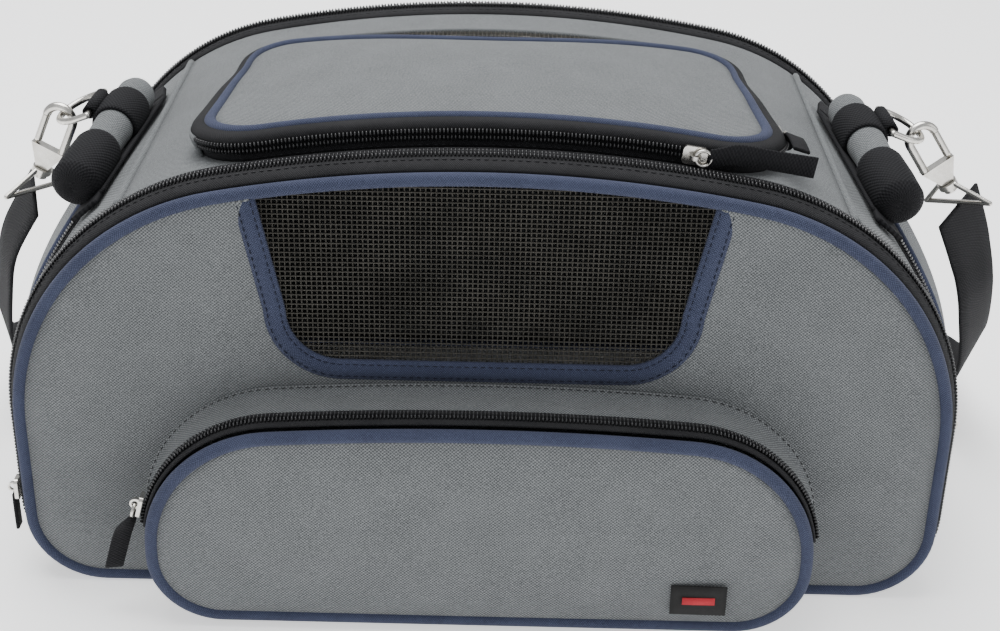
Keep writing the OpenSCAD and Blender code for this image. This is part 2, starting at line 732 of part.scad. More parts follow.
module strap_adjuster() {
    color(black) translate([-40, back_y, 1.7]) difference() {
        translate([-adjuster_d, -adjuster_w / 2, -1]) cube([2 * adjuster_d, adjuster_w, 3.9]);
        translate([-adjuster_d - 1, -strap_w / 2 - 0.8, -5])
            cube([2 * adjuster_d + 2, strap_w + 1.6, 5 + strap_t / 2 + 0.4]);
    }
}

// ---------- zip sliders: local X along the zip, local Z out from the coil ----------
slider_l = 11;
slider_w = 8.4;
slider_t = 1.8;
lug_h = 4.2;
lug_bore = 1.5;
module slider() {
    color(nickel) difference() {
        union() {
            linear_extrude(slider_t) rounded(slider_l, slider_w, 2);
            translate([-2.6, 0.9, 0]) rotate([90, 0, 0]) linear_extrude(1.8) {
                square([5.2, lug_h - 0.6]);
                translate([2.6, lug_h - 1]) circle(2.6);
            }
        }
        translate([0, 3, lug_h - 0.8]) rotate([90, 0, 0]) cylinder(6, lug_bore, lug_bore);
    }
}
ring_r = 3.6;
ring_wire = 0.8;
ribbon_t = 1.6;
// The ring through a slider's lug, its far side at local X = 2 * ring_r
module pull_ring() {
    color(nickel) translate([ring_r, 0, lug_h - 0.8])
        rotate_extrude() translate([ring_r, 0]) circle(ring_wire, $fn = 16);
}
wall_top = out_o + wall_split;                   // height of the flap's zip over the arch
slider_gap = 0.3;
front_slider_x = flap_w / 2 - flap_r - 8;
front_slider_z = sqrt(pow(top_r + wall_top, 2) - pow(front_slider_x, 2)) + body_h - top_r;
front_slider_tilt = asin(front_slider_x / (top_r + wall_top));
module at_front_slider() {
    translate([front_slider_x, flap_y0 - coil_h + 1 - slider_gap, front_slider_z])
        rotate([0, front_slider_tilt, 0]) rotate([90, 0, 0]) children();
}
module top_front_slider() { at_front_slider() slider(); }
// The ribbon runs to the right from the ring, over the front zip, dipping a little
front_ribbon_l = 46;
front_ribbon_w = 9;
front_ribbon_dip = 4;                            // in degrees
module top_front_pull() {
    at_front_slider() {
        pull_ring();
        color(black) translate([2 * ring_r - 1.2, 0, lug_h - 0.8 - ribbon_t / 2])
            rotate([0, 0, -front_ribbon_dip]) {
            translate([0, -2.5, 0]) cube([4, 5, ribbon_t]);
            translate([2, -ribbon_t / 2, 0]) cube([front_ribbon_l, ribbon_t, front_ribbon_w]);
        }
    }
}

side_slider_y = flap_y0 + flap_r + 8;
side_slider_z = sqrt(pow(top_r + wall_top, 2) - pow(flap_w / 2, 2)) + body_h - top_r;
module at_side_slider() {
    translate([flap_w / 2 + coil_h - 1 + slider_gap, side_slider_y, side_slider_z])
        rotate([0, 90, 0]) rotate([0, 0, -90]) children();
}
module top_side_slider() { at_side_slider() slider(); }
// This ribbon lies on the panel beside the flap, running to the front from the ring
side_ribbon_l = 30;
module top_side_pull() {
    lug_x = flap_w / 2 + coil_h - 1 + slider_gap + lug_h - 0.8;
    at_side_slider() {
        pull_ring();
        color(black) translate([2 * ring_r - 1.2, -2.5, lug_h - 0.8 - ribbon_t / 2])
            cube([4, wall_split + 3.7, ribbon_t]);
    }
    color(black) deep(side_slider_y - 2 * ring_r - side_ribbon_l, side_slider_y - 2 * ring_r + 1)
        intersection() {
            arch_ring(out_o + 0.4 + ribbon_t, out_o + 0.4);
            translate([lug_x - ribbon_t / 2, shoulder_z]) square([front_ribbon_w, big]);
        }
}

pocket_slider_z = pocket_zip_z + 8;
pocket_mid_y = pocket_split + zip_gap / 2;
pocket_cx = pocket_w / 2 - pocket_r;
pocket_cz = pocket_h - pocket_rise - pocket_r;
pocket_slider_a = asin((pocket_slider_z - pocket_cz) / pocket_r);
module at_pocket_slider() {
    translate([-pocket_cx, -pocket_mid_y, pocket_cz]) rotate([0, pocket_slider_a, 0])
        translate([-pocket_r - out_o - coil_h + 0.5 - slider_gap, 0, 0])
        rotate([0, -90, 0]) rotate([0, 0, 180]) children();
}
module pocket_slider() { at_pocket_slider() slider(); }
pocket_ribbon_l = 34;
pocket_ribbon_w = 9;
module pocket_pull() {
    at_pocket_slider() {
        pull_ring();
        color(black) translate([2 * ring_r - 1.2, -pocket_ribbon_w / 2, lug_h - 0.8 - ribbon_t / 2])
            cube([pocket_ribbon_l, pocket_ribbon_w, ribbon_t]);
    }
}

// The small sliders of the wings and doors carry a fixed ribbon
ribbon_l = 20;
module slider_with_ribbon() {
    slider();
    color(black) translate([2.6, -3.5, 1.8]) cube([ribbon_l, 7, 1.6]);
}
wing_slider_z = corner_r + 6;
module at_wing_slider() {
    translate([-body_w / 2 - coil_o - coil_h - slider_gap, zip_y, wing_slider_z])
        rotate([0, -90, 0]) rotate([0, 0, 180]) children();
}
module front_wing_slider() { front() at_wing_slider() slider_with_ribbon(); }
module rear_wing_slider() { left() at_wing_slider() slider_with_ribbon(); }

// On the door's front edge, part of the way up the straight side
door_slider_s = shoulder_len + 10;
door_coil_y = door_d / 2 + door_band + coil_w + zip_gap / 2;
module at_door_slider() {
    p = skin([door_slider_s, -door_coil_y], out_o + 1.5 + 1.1);
    translate(p) rotate([0, 90, 0]) children();
}
module right_door_slider() { at_door_slider() slider_with_ribbon(); }
module left_door_slider() { left() at_door_slider() slider_with_ribbon(); }

base_fabric();
base_board();
base_cushion();
top_panel();
top_rear_mesh();
left_end_panel();
right_end_panel();
wire_hoops();
wing_body_tapes();
wing_body_coils();
top_body_zip();
door_body_zips();
front_gusset();
rear_gusset();
shoulder_strap();
strap_swivel_loops();
strap_adjuster();
top_flap_panel();
top_flap_piping();
top_flap_zip();
front_panel();
front_mesh();
front_window_trim();
front_piping();
front_wing_zip();
pocket_gusset();
pocket_rear_zip();
pocket_front_zip();
pocket_piping();
pocket_face();
label_patch();
rear_panel();
rear_mesh();
rear_window_trim();
rear_piping();
rear_wing_zip();
left_door_panel();
left_door_trim();
right_door_panel();
right_door_trim();
left_grip();
left_handle_webbing();
right_grip();
right_handle_webbing();
left_dring();
right_dring();
left_hook();
right_hook();
left_gate();
right_gate();
top_front_slider();
top_front_pull();
top_side_slider();
top_side_pull();
pocket_slider();
pocket_pull();
front_wing_slider();
rear_wing_slider();
left_door_slider();
right_door_slider();
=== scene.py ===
"""The looks of a soft pet carrier bag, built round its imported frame.

Sizes below are in millimetres; cloth() and repeat() turn them into metres when they make a mesh.
"""

import math

import bpy
import numpy as np
from mathutils import Matrix, Vector


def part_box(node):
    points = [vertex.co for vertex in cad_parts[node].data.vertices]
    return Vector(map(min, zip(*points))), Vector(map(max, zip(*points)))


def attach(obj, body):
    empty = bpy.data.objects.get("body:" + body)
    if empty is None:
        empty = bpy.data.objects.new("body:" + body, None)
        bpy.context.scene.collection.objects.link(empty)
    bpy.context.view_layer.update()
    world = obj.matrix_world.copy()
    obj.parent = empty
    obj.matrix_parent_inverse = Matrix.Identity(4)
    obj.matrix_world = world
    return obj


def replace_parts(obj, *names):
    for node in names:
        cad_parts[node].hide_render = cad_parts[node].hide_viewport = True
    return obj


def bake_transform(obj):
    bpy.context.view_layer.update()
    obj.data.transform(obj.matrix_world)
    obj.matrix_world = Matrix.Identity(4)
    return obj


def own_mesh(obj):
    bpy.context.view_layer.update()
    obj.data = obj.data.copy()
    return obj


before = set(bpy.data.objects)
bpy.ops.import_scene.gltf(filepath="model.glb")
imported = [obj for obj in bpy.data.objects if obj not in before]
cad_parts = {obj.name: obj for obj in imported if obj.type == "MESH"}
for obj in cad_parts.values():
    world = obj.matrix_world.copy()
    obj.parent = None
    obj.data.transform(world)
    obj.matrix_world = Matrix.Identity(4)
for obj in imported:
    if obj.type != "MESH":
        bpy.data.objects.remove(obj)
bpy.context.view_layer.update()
MM = 0.001
ENDS = (("front", -1), ("rear", 1))
SIDES = (("right", 1), ("left", -1))

# --- Camera, floor and light ---
# A camera a little above the bag, a seamless pale floor and soft daylight from large panels,
# with most of the light from above.
eye = (0.00926, -0.80116, 0.49737)
pitch, yaw, roll = math.radians(27.27), math.radians(0.17), math.radians(1.23)


def new_object(name, data):
    """An object for this data, in the scene"""
    piece = bpy.data.objects.new(name, data)
    bpy.context.scene.collection.objects.link(piece)
    return piece


camera_data = bpy.data.cameras.new("camera")
camera_data.lens = 61.79
camera_data.sensor_width = 36
camera = new_object("camera", camera_data)
camera.matrix_world = (
    Matrix.Translation(eye)
    @ Matrix.Rotation(yaw, 4, "Z")
    @ Matrix.Rotation(math.radians(90) - pitch, 4, "X")
    @ Matrix.Rotation(roll, 4, "Z")
)
bpy.context.scene.camera = camera

bpy.ops.object.select_all(action="DESELECT")
bpy.ops.mesh.primitive_plane_add(size=14)
floor = bpy.context.object
floor.name = "floor"
paper = bpy.data.materials.new("paper")
paper.use_nodes = True
shader = paper.node_tree.nodes["Principled BSDF"]
shader.inputs["Base Color"].default_value = (0.88, 0.88, 0.88, 1)
shader.inputs["Roughness"].default_value = 0.9
shader.inputs["Emission Color"].default_value = (1, 1, 1, 1)
shader.inputs["Emission Strength"].default_value = 0.85
floor.data.materials.append(paper)


def soft_light(name, place, aim, size, watts):
    bpy.ops.object.light_add(type="AREA", location=place)
    light = bpy.context.object
    light.name = name
    light.data.size = size
    light.data.energy = watts
    light.rotation_euler = (Vector(aim) - Vector(place)).to_track_quat("-Z", "Y").to_euler()


soft_light("light_above", (-0.25, 0.35, 1.9), (0, 0, 0.1), 1.6, 62)
soft_light("light_front", (-0.9, -1.7, 1.1), (0, 0, 0.1), 1.3, 2.5)
soft_light("light_right", (1.8, -0.6, 0.9), (0, 0, 0.1), 1.2, 6)
world = bpy.data.worlds.new("world")
bpy.context.scene.world = world
world.use_nodes = True
sky = world.node_tree.nodes["Background"]
sky.inputs["Color"].default_value = (0.95, 0.97, 1.0, 1)
sky.inputs["Strength"].default_value = 0.62

# --- Cloths and metals ---
# Plain-woven padded polyester, navy binding, black zip tape, ribbed webbing and nickel plate.
# The weave, whose dips between raised threads are painted darker as shade, and the wear are two effects
# that every cloth shares.


def group_of(name, *sockets):
    """A node group with a Vector input and the given float inputs, and Height and Mask outputs"""
    group = bpy.data.node_groups.new(name, "ShaderNodeTree")
    group.interface.new_socket("Vector", in_out="INPUT", socket_type="NodeSocketVector")
    for label in sockets:
        group.interface.new_socket(label, in_out="INPUT", socket_type="NodeSocketFloat")
    for label in ("Height", "Mask"):
        group.interface.new_socket(label, in_out="OUTPUT", socket_type="NodeSocketFloat")
    return group, group.nodes.new("NodeGroupInput"), group.nodes.new("NodeGroupOutput")


def math_node(tree, operation, *values):
    """A math node whose inputs are numbers or other nodes' outputs"""
    node = tree.nodes.new("ShaderNodeMath")
    node.operation = operation
    for socket, value in zip(node.inputs, values):
        if isinstance(value, (int, float)):
            socket.default_value = value
        else:
            tree.links.new(value, socket)
    return node.outputs[0]


def two_waves(group, inside, angle):
    """Sine waves along U and V that turn through this angle in one pitch"""
    split = group.nodes.new("ShaderNodeSeparateXYZ")
    group.links.new(inside.outputs["Vector"], split.inputs[0])
    waves = []
    for axis, pitch_name in (("X", "Pitch U"), ("Y", "Pitch V")):
        turns = math_node(group, "DIVIDE", split.outputs[axis], inside.outputs[pitch_name])
        waves.append(math_node(group, "SINE", math_node(group, "MULTIPLY", turns, angle)))
    return waves


# Threads that pass over and under each other; the pitches are in metres
weave, inside, outside = group_of("weave", "Pitch U", "Pitch V")
crossing = math_node(weave, "MULTIPLY", *two_waves(weave, inside, 2 * math.pi))
weave.links.new(math_node(weave, "MULTIPLY_ADD", crossing, 0.5, 0.5), outside.inputs["Height"])
weave.links.new(math_node(weave, "GREATER_THAN", crossing, 0.0), outside.inputs["Mask"])

# Square knitted cells: the mask is 1 on the threads and 0 in the holes
cells, inside, outside = group_of("cells", "Pitch U", "Pitch V")
waves = [math_node(cells, "ABSOLUTE", wave) for wave in two_waves(cells, inside, math.pi)]
nearest = math_node(cells, "MAXIMUM", *waves)
cells.links.new(nearest, outside.inputs["Height"])
cells.links.new(math_node(cells, "GREATER_THAN", nearest, 0.86), outside.inputs["Mask"])

# Small light and dark patches where the cloth has rubbed and faded
wear, inside, outside = group_of("wear", "Scale")
patches = wear.nodes.new("ShaderNodeTexNoise")
patches.inputs["Detail"].default_value = 5
patches.inputs["Roughness"].default_value = 0.65
wear.links.new(inside.outputs["Vector"], patches.inputs["Vector"])
wear.links.new(inside.outputs["Scale"], patches.inputs["Scale"])
wear.links.new(patches.outputs["Fac"], outside.inputs["Height"])
contrast = wear.nodes.new("ShaderNodeMapRange")
contrast.inputs["From Min"].default_value = 0.35
contrast.inputs["From Max"].default_value = 0.65
wear.links.new(patches.outputs["Fac"], contrast.inputs["Value"])
wear.links.new(contrast.outputs["Result"], outside.inputs["Mask"])


def finish(name, dark, light, rough, pitch=None, relief=0.0, fleck=0.5, metal=0.0, sheen=0.0,
           patch_scale=45, coat=0.0):
    """A material between two colours: threads of the given pitch, or none, over worn patches. With
    threads, fibre flecks show on the raised threads and the dips between them are painted shade
    """
    material = bpy.data.materials.new(name)
    material.use_nodes = True
    tree = material.node_tree
    shader = tree.nodes["Principled BSDF"]
    shader.inputs["Roughness"].default_value = rough
    shader.inputs["Metallic"].default_value = metal
    shader.inputs["Sheen Weight"].default_value = sheen
    shader.inputs["Sheen Roughness"].default_value = 0.5
    shader.inputs["Coat Weight"].default_value = coat
    shader.inputs["Specular IOR Level"].default_value = 0.5 if metal or coat else 0.18
    where = tree.nodes.new("ShaderNodeTexCoord")
    worn = tree.nodes.new("ShaderNodeGroup")
    worn.node_tree = wear
    worn.inputs["Scale"].default_value = patch_scale
    tree.links.new(where.outputs["Object"], worn.inputs["Vector"])
    fibres = tree.nodes.new("ShaderNodeTexNoise")
    fibres.inputs["Scale"].default_value = 1400
    fibres.inputs["Detail"].default_value = 3
    tree.links.new(where.outputs["Object"], fibres.inputs["Vector"])
    tone = math_node(tree, "MULTIPLY", worn.outputs["Mask"], 1 - fleck)
    height = fibres.outputs["Fac"]
    if pitch:
        threads = tree.nodes.new("ShaderNodeGroup")
        threads.node_tree = weave
        threads.inputs["Pitch U"].default_value = pitch[0] * MM
        threads.inputs["Pitch V"].default_value = pitch[1] * MM
        tree.links.new(where.outputs["UV"], threads.inputs["Vector"])
        # Fibre flecks on the raised threads only: the dips between the threads are painted shade, darker
        # in colour
        flecks_and_weave_shade = math_node(tree, "MULTIPLY", threads.outputs["Height"], fibres.outputs["Fac"])
        tone = math_node(tree, "ADD", tone, math_node(tree, "MULTIPLY", flecks_and_weave_shade, 2 * fleck))
        height = math_node(tree, "ADD", threads.outputs["Height"],
                           math_node(tree, "MULTIPLY", fibres.outputs["Fac"], 0.5))
    else:
        tone = math_node(tree, "ADD", tone, math_node(tree, "MULTIPLY", fibres.outputs["Fac"], fleck))
    mix = tree.nodes.new("ShaderNodeMix")
    mix.data_type = "RGBA"
    mix.inputs["A"].default_value = (*dark, 1)
    mix.inputs["B"].default_value = (*light, 1)
    tree.links.new(tone, mix.inputs["Factor"])
    tree.links.new(mix.outputs["Result"], shader.inputs["Base Color"])
    bump = tree.nodes.new("ShaderNodeBump")
    bump.inputs["Strength"].default_value = relief
    bump.inputs["Distance"].default_value = 0.3 * MM
    tree.links.new(height, bump.inputs["Height"])
    tree.links.new(bump.outputs["Normal"], shader.inputs["Normal"])
    return material


shell_cloth = finish("shell_cloth", (0.04, 0.0435, 0.045), (0.235, 0.246, 0.252), 0.9,
                     pitch=(1.7, 1.5), relief=0.9, fleck=0.92, sheen=0.08)
piping_cloth = finish("piping_cloth", (0.014, 0.017, 0.036), (0.068, 0.08, 0.135), 0.85,
                      pitch=(1.3, 1.1), relief=0.8, fleck=0.85, sheen=0.05)
zip_tape = finish("zip_tape", (0.005, 0.005, 0.006), (0.032, 0.032, 0.034), 0.85,
                  pitch=(1.4, 1.0), relief=0.8, fleck=0.8)
coil_nylon = finish("coil_nylon", (0.008, 0.008, 0.009), (0.02, 0.02, 0.022), 0.34, relief=0.1,
                    coat=0.3)
thread_black = finish("thread_black", (0.012, 0.012, 0.014), (0.035, 0.035, 0.038), 0.6, relief=0.3)
thread_navy = finish("thread_navy", (0.006, 0.007, 0.014), (0.014, 0.017, 0.034), 0.6, relief=0.3)
net_black = finish("net_black", (0.018, 0.017, 0.014), (0.075, 0.07, 0.06), 0.55, relief=0.2)
gusset_net = finish("gusset_net", (0.01, 0.01, 0.009), (0.03, 0.03, 0.028), 0.6, relief=0.2)
# The folded netting's cells are packed close across the fold
tree = gusset_net.node_tree
holes = tree.nodes.new("ShaderNodeGroup")
holes.node_tree = cells
holes.inputs["Pitch U"].default_value = 2.4 * MM
holes.inputs["Pitch V"].default_value = 0.26 * MM
where = tree.nodes.new("ShaderNodeTexCoord")
tree.links.new(where.outputs["UV"], holes.inputs["Vector"])
tree.links.new(holes.outputs["Mask"], tree.nodes["Principled BSDF"].inputs["Alpha"])
ribbed_webbing = finish("ribbed_webbing", (0.003, 0.003, 0.004), (0.017, 0.017, 0.019), 0.8,
                        pitch=(2.6, 1.6), relief=1.0, fleck=0.85)
nickel_plate = finish("nickel_plate", (0.52, 0.5, 0.46), (0.72, 0.7, 0.66), 0.24, metal=1.0,
                      relief=0.03, fleck=0.2, patch_scale=120)
base_cloth = finish("base_cloth", (0.03, 0.03, 0.033), (0.075, 0.075, 0.08), 0.8,
                    pitch=(1.4, 1.4), relief=0.6)
board_plastic = finish("board_plastic", (0.02, 0.02, 0.022), (0.04, 0.04, 0.043), 0.6, relief=0.2)
plush = finish("plush", (0.07, 0.073, 0.078), (0.17, 0.175, 0.185), 0.95, relief=1.0, sheen=0.6,
               fleck=0.7, patch_scale=140)
label_weave = finish("label_weave", (0.01, 0.01, 0.01), (0.03, 0.03, 0.03), 0.7,
                     pitch=(0.6, 0.6), relief=0.5)
label_thread = finish("label_thread", (0.35, 0.02, 0.03), (0.55, 0.04, 0.05), 0.6,
                      pitch=(0.6, 0.6), relief=0.5)
acetal = finish("acetal", (0.012, 0.012, 0.013), (0.022, 0.022, 0.024), 0.4, relief=0.05)


def paint(piece, material):
    """Gives a piece this material alone"""
    piece.data.materials.clear()
    piece.data.materials.append(material)


def dress(piece, material, body=None):
    """The piece's material and the body it rides on"""
    paint(piece, material)
    if body:
        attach(piece, body)
    return piece


# --- Wings: piping, zip tapes and coils ---
# Each wing is a padded panel edged with corded piping. A black tape runs back from the piping to
# its half of a coil zip, whose other half is on the body. The line round both is the arch.
body_w = 2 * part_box("front_piping")[1].x / MM
body_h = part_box("front_piping")[1].z / MM
half_d, piping_r = 122, 3.1
shoulder_r, crown_rise, corner_r = 120, 9.5, 36
arch_cx, shoulder_z = body_w / 2 - shoulder_r, body_h - crown_rise - shoulder_r
zip_foot = 10


def arc(x, z, r, a0, a1, n=24):
    """Points on an arc, each with its outward direction"""
    a = np.radians(np.linspace(a0, a1, n))
    return np.stack([x + r * np.cos(a), z + r * np.sin(a), np.cos(a), np.sin(a)], axis=1)


def loaf(w, h, rs, rise, rc, z0):
    """The bread loaf outline from the middle of its foot, up the right side and round"""
    x, z = w / 2 - rs, h - rise - rs
    rt = (x * x + (rise + rs) ** 2 - rs * rs) / (2 * rise)
    tip = math.degrees(math.asin(x / (rt - rs)))
    return np.concatenate([
        [(0, z0, 0, -1)], arc(w / 2 - rc, z0 + rc, rc, -90, 0), arc(x, z, rs, 0, 90 - tip),
        arc(0, h - rt, rt, 90 - tip, 90 + tip)[1:], arc(-x, z, rs, 90 + tip, 180)[1:],
        arc(-w / 2 + rc, z0 + rc, rc, 180, 270)])


def even(path, step, closed=False):
    """The same path with its points about step apart; a row is a point and two directions"""
    if closed:
        path = np.concatenate([path, path[:1]])
    length = np.concatenate([[0], np.cumsum(np.linalg.norm(np.diff(path[:, :3], axis=0), axis=1))])
    count = max(2, round(length[-1] / step))
    at = np.linspace(0, length[-1], count + 1)
    made = np.stack([np.interp(at, length, column) for column in path.T], axis=1)
    for k in (3, 6):
        made[:, k:k + 3] /= np.linalg.norm(made[:, k:k + 3], axis=1)[:, None]
    return made[:-1] if closed else made


def standing(outline, side, step=4.0, foot=None):
    """An outline stood up: outward is its first direction, and away from the bag's middle its
    second. With a foot it is open and starts at that height on the right."""
    path = np.zeros((len(outline), 9))
    path[:, 0], path[:, 2], path[:, 3], path[:, 5] = outline.T
    path[:, 7] = side
    if foot is None:
        return even(path, step, closed=True)
    fine = even(path, 1.0, closed=True)
    return even(fine[fine[:, 2] >= foot], step)


def spots(path, out, side):
    return path[:, :3] + path[:, 3:6] * out + path[:, 6:9] * side


def cloth(name, rows, closed=False, tube=False, flat=None):
    """A sheet through rows of points. Closed joins the last row to the first, and tube joins the
    rows' ends. The threads follow the sheet, or the two axes in flat."""
    rows = np.asarray(rows, float)
    if closed:
        rows = np.concatenate([rows, rows[:1]])
    if tube:
        rows = np.concatenate([rows, rows[:, :1]], axis=1)
    n, m = rows.shape[:2]
    bpy.ops.object.select_all(action="DESELECT")
    bpy.ops.mesh.primitive_grid_add(x_subdivisions=m - 1, y_subdivisions=n - 1, size=1)
    piece = bpy.context.object
    piece.name = piece.data.name = name
    mesh = piece.data
    mesh.vertices.foreach_set("co", (rows * MM).astype(np.float32).ravel())
    if flat:
        threads = rows[:, :, list(flat)]
    else:
        def run(axis):
            steps = np.linalg.norm(np.diff(rows, axis=axis), axis=2).mean(axis=1 - axis)
            return np.concatenate([[0], np.cumsum(steps)])
        threads = np.stack(np.meshgrid(run(1), run(0)), axis=2)
    corner = np.zeros(len(mesh.loops), np.int32)
    mesh.loops.foreach_get("vertex_index", corner)
    mesh.uv_layers.active.data.foreach_set(
        "uv", (threads.reshape(-1, 2)[corner] * MM).astype(np.float32).ravel())
    bpy.ops.object.mode_set(mode="EDIT")
    bpy.ops.mesh.select_all(action="SELECT")
    bpy.ops.mesh.remove_doubles(threshold=1e-6)
    bpy.ops.mesh.normals_make_consistent(inside=False)
    bpy.ops.mesh.select_all(action="DESELECT")
    bpy.ops.object.mode_set(mode="OBJECT")
    bpy.ops.object.shade_smooth()
    return piece


def sweep(name, path, section, closed=False, tube=True):
    """A sheet or tube whose section, in outward and sideways steps, runs along a path"""
    section = np.asarray(section, float)
    piece = cloth(name, np.stack([spots(path, a, b) for a, b in section], axis=1), closed, tube)
    if tube and not closed:
        bpy.ops.object.mode_set(mode="EDIT")
        bpy.ops.mesh.select_all(action="SELECT")
        bpy.ops.mesh.region_to_loop()
        bpy.ops.mesh.edge_face_add()
        bpy.ops.mesh.select_all(action="SELECT")
        bpy.ops.mesh.normals_make_consistent(inside=False)
        bpy.ops.object.mode_set(mode="OBJECT")
    return piece


def pick(*pieces):
    """Selects these pieces alone, with the first one active"""
    bpy.ops.object.select_all(action="DESELECT")
    for piece in pieces:
        piece.select_set(True)
    bpy.context.view_layer.objects.active = pieces[0]


def thicken(piece, wall):
    """Gives a sheet its thickness, half to each side"""
    pick(piece)
    solidify = piece.modifiers.new("wall", "SOLIDIFY")
    solidify.thickness = wall * MM
    solidify.offset = 0
    bpy.ops.object.modifier_apply(modifier="wall")
    return piece


def ring(r, out=0.0, side=0.0, n=12):
    a = np.linspace(0, 2 * math.pi, n, endpoint=False)
    return np.stack([out + r * np.cos(a), side + r * np.sin(a)], axis=1)


def pattern(segments, rings, size):
    """A small rounded shape that repeat() copies, size long, wide and high"""
    bpy.ops.object.select_all(action="DESELECT")
    bpy.ops.mesh.primitive_uv_sphere_add(segments=segments, ring_count=rings, radius=0.5)
    ball = bpy.context.object
    corners = np.array([v.co for v in ball.data.vertices]) * size
    faces = [list(face.vertices) for face in ball.data.polygons]
    bpy.data.objects.remove(ball)
    return corners, faces


def repeat(name, shape, middles, lengthwise, up):
    """Copies of a small shape in one mesh, each lying lengthwise and facing up"""
    corners, faces = shape
    x = lengthwise / np.linalg.norm(lengthwise, axis=1)[:, None]
    y = np.cross(up, x)
    y /= np.linalg.norm(y, axis=1)[:, None]
    z = np.cross(x, y)
    turn = np.stack([x, y, z], axis=1)
    made = middles[:, None, :] + np.einsum("vc,ncd->nvd", corners, turn)
    mesh = bpy.data.meshes.new(name)
    every = [[k * len(corners) + v for v in face] for k in range(len(middles)) for face in faces]
    mesh.from_pydata((made.reshape(-1, 3) * MM).tolist(), [], every)
    for face in mesh.polygons:
        face.use_smooth = True
    return new_object(name, mesh)


tooth = pattern(8, 5, (1.15, 2.9, 2.2))
stitch = pattern(6, 4, (2.6, 0.55, 0.5))
coil_pitch, stitch_pitch = 1.7, 3.6


def row_of(name, shape, pitch, path, out, side, closed, flat_up=True):
    """Copies of a shape along a path, facing its outward direction or else its sideways one"""
    fine = even(path, pitch, closed)
    run = np.gradient(fine[:, :3], axis=0)
    up = fine[:, 3:6] if flat_up else fine[:, 6:9]
    return repeat(name, shape, spots(fine, out, side), run, up)


def coil(name, path, out, side, closed=False):
    """One half of a coil zip along a path: its teeth lie across the zip"""
    return row_of(name, tooth, coil_pitch, path, out, side, closed)


def stitches(name, path, out, side, closed=False, flat_up=True):
    return row_of(name, stitch, stitch_pitch, path, out, side, closed, flat_up)


def join(name, *pieces):
    pick(*pieces)
    bpy.ops.object.join()
    pieces[0].name = pieces[0].data.name = name
    return pieces[0]


arch = loaf(body_w, body_h, shoulder_r, crown_rise, corner_r, 0)
for end, side in ENDS:
    wing = end + "_wing"
    piping = sweep(end + "_piping_cord", standing(arch, side), ring(piping_r, -3, half_d), closed=True)
    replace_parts(dress(piping, piping_cloth, wing), end + "_piping")
    upright = standing(arch, side, 4, zip_foot)
    band = sweep(end + "_wing_tape", upright,
                 [(-1, 119.4), (0.6, 119.2), (2.2, 116), (3.2, 112.5), (3.0, 109), (1.9, 108.7),
                  (1.2, 114), (-1.6, 118.4)])
    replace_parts(dress(band, zip_tape, wing), end + "_wing_zip")
    dress(coil(end + "_wing_coil", upright, 4.1, 110.1), coil_nylon, wing)
    dress(stitches(end + "_wing_stitches", upright, 3.1, 114), thread_black, wing)
    tape = sweep(end + "_body_tape", upright,
                 [(0.9, 97.6), (2.0, 97.8), (3.0, 100), (3.1, 104), (2.9, 108.2), (1.9, 108.3),
                  (1.6, 103), (0.8, 99)])
    if side < 0:
        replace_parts(tape, "wing_body_tapes")
    dress(tape, zip_tape, "bag")
    body_coil = coil(end + "_body_coil", upright, 4.1, 106.9)
    if side < 0:
        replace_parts(body_coil, "wing_body_coils")
    dress(body_coil, coil_nylon, "bag")
    dress(stitches(end + "_body_stitches", upright, 3.15, 101.5), thread_black, "bag")

# --- Wings: panels, mesh windows and binding ---
# The panel is foam between two cloths, open above into a mesh window. Navy tape binds the
# window's edge on three sides with two rows of stitches. The mesh is knitted in square cells.
window_top, window_low, window_z, window_r = 104, 90, 122, 26
trim_w, trim_lap, net_cell, net_r = 10.5, 2, 2.3, 0.36
rim_in, padded_t = 4.5, 2.6


def window_side(o):
    """The right half of the window's edge from its top down to the middle, grown by o"""
    corner = arc(window_low - window_r, window_z + window_r, window_r + o, 0, -90, 16)[:, :2]
    return np.concatenate([[(window_top + o + 2, body_h + 8)], corner, [(0, window_z - o)]])


def top_of(x, o=0.0):
    """Height of the arch at x, grown by o"""
    x = np.abs(np.asarray(x, float))
    rt = (arch_cx ** 2 + (crown_rise + shoulder_r) ** 2 - shoulder_r ** 2) / (2 * crown_rise)
    tip = arch_cx / (rt - shoulder_r)
    crown = body_h - rt + np.sqrt(np.maximum((rt + o) ** 2 - x * x, 0))
    shoulder = shoulder_z + np.sqrt(np.maximum((shoulder_r + o) ** 2 - (x - arch_cx) ** 2, 0))
    return np.where(x < (rt + o) * tip, crown, shoulder)


def edge_line(points, step):
    """Even points along a polyline in XZ"""
    rows = np.zeros((len(points), 9))
    rows[:, 0], rows[:, 2] = np.asarray(points, float).T
    rows[:, 3] = rows[:, 7] = 1
    return even(rows, step)[:, [0, 2]]


def inside_arch(points, o):
    """Those points of a line that lie below the arch grown by o"""
    return points[points[:, 1] <= top_of(points[:, 0], o)]


def along_line(points, share):
    length = np.concatenate([[0], np.cumsum(np.linalg.norm(np.diff(points, axis=0), axis=1))])
    at = np.asarray(share) * length[-1]
    return np.stack([np.interp(at, length, column) for column in points.T], axis=1)


def window_edge(o, inset):
    """The whole window edge under the piping, from top right round to top left"""
    half = inside_arch(edge_line(window_side(o), 1.0), -inset)
    return np.concatenate([half, (half * (-1, 1))[::-1][1:]])


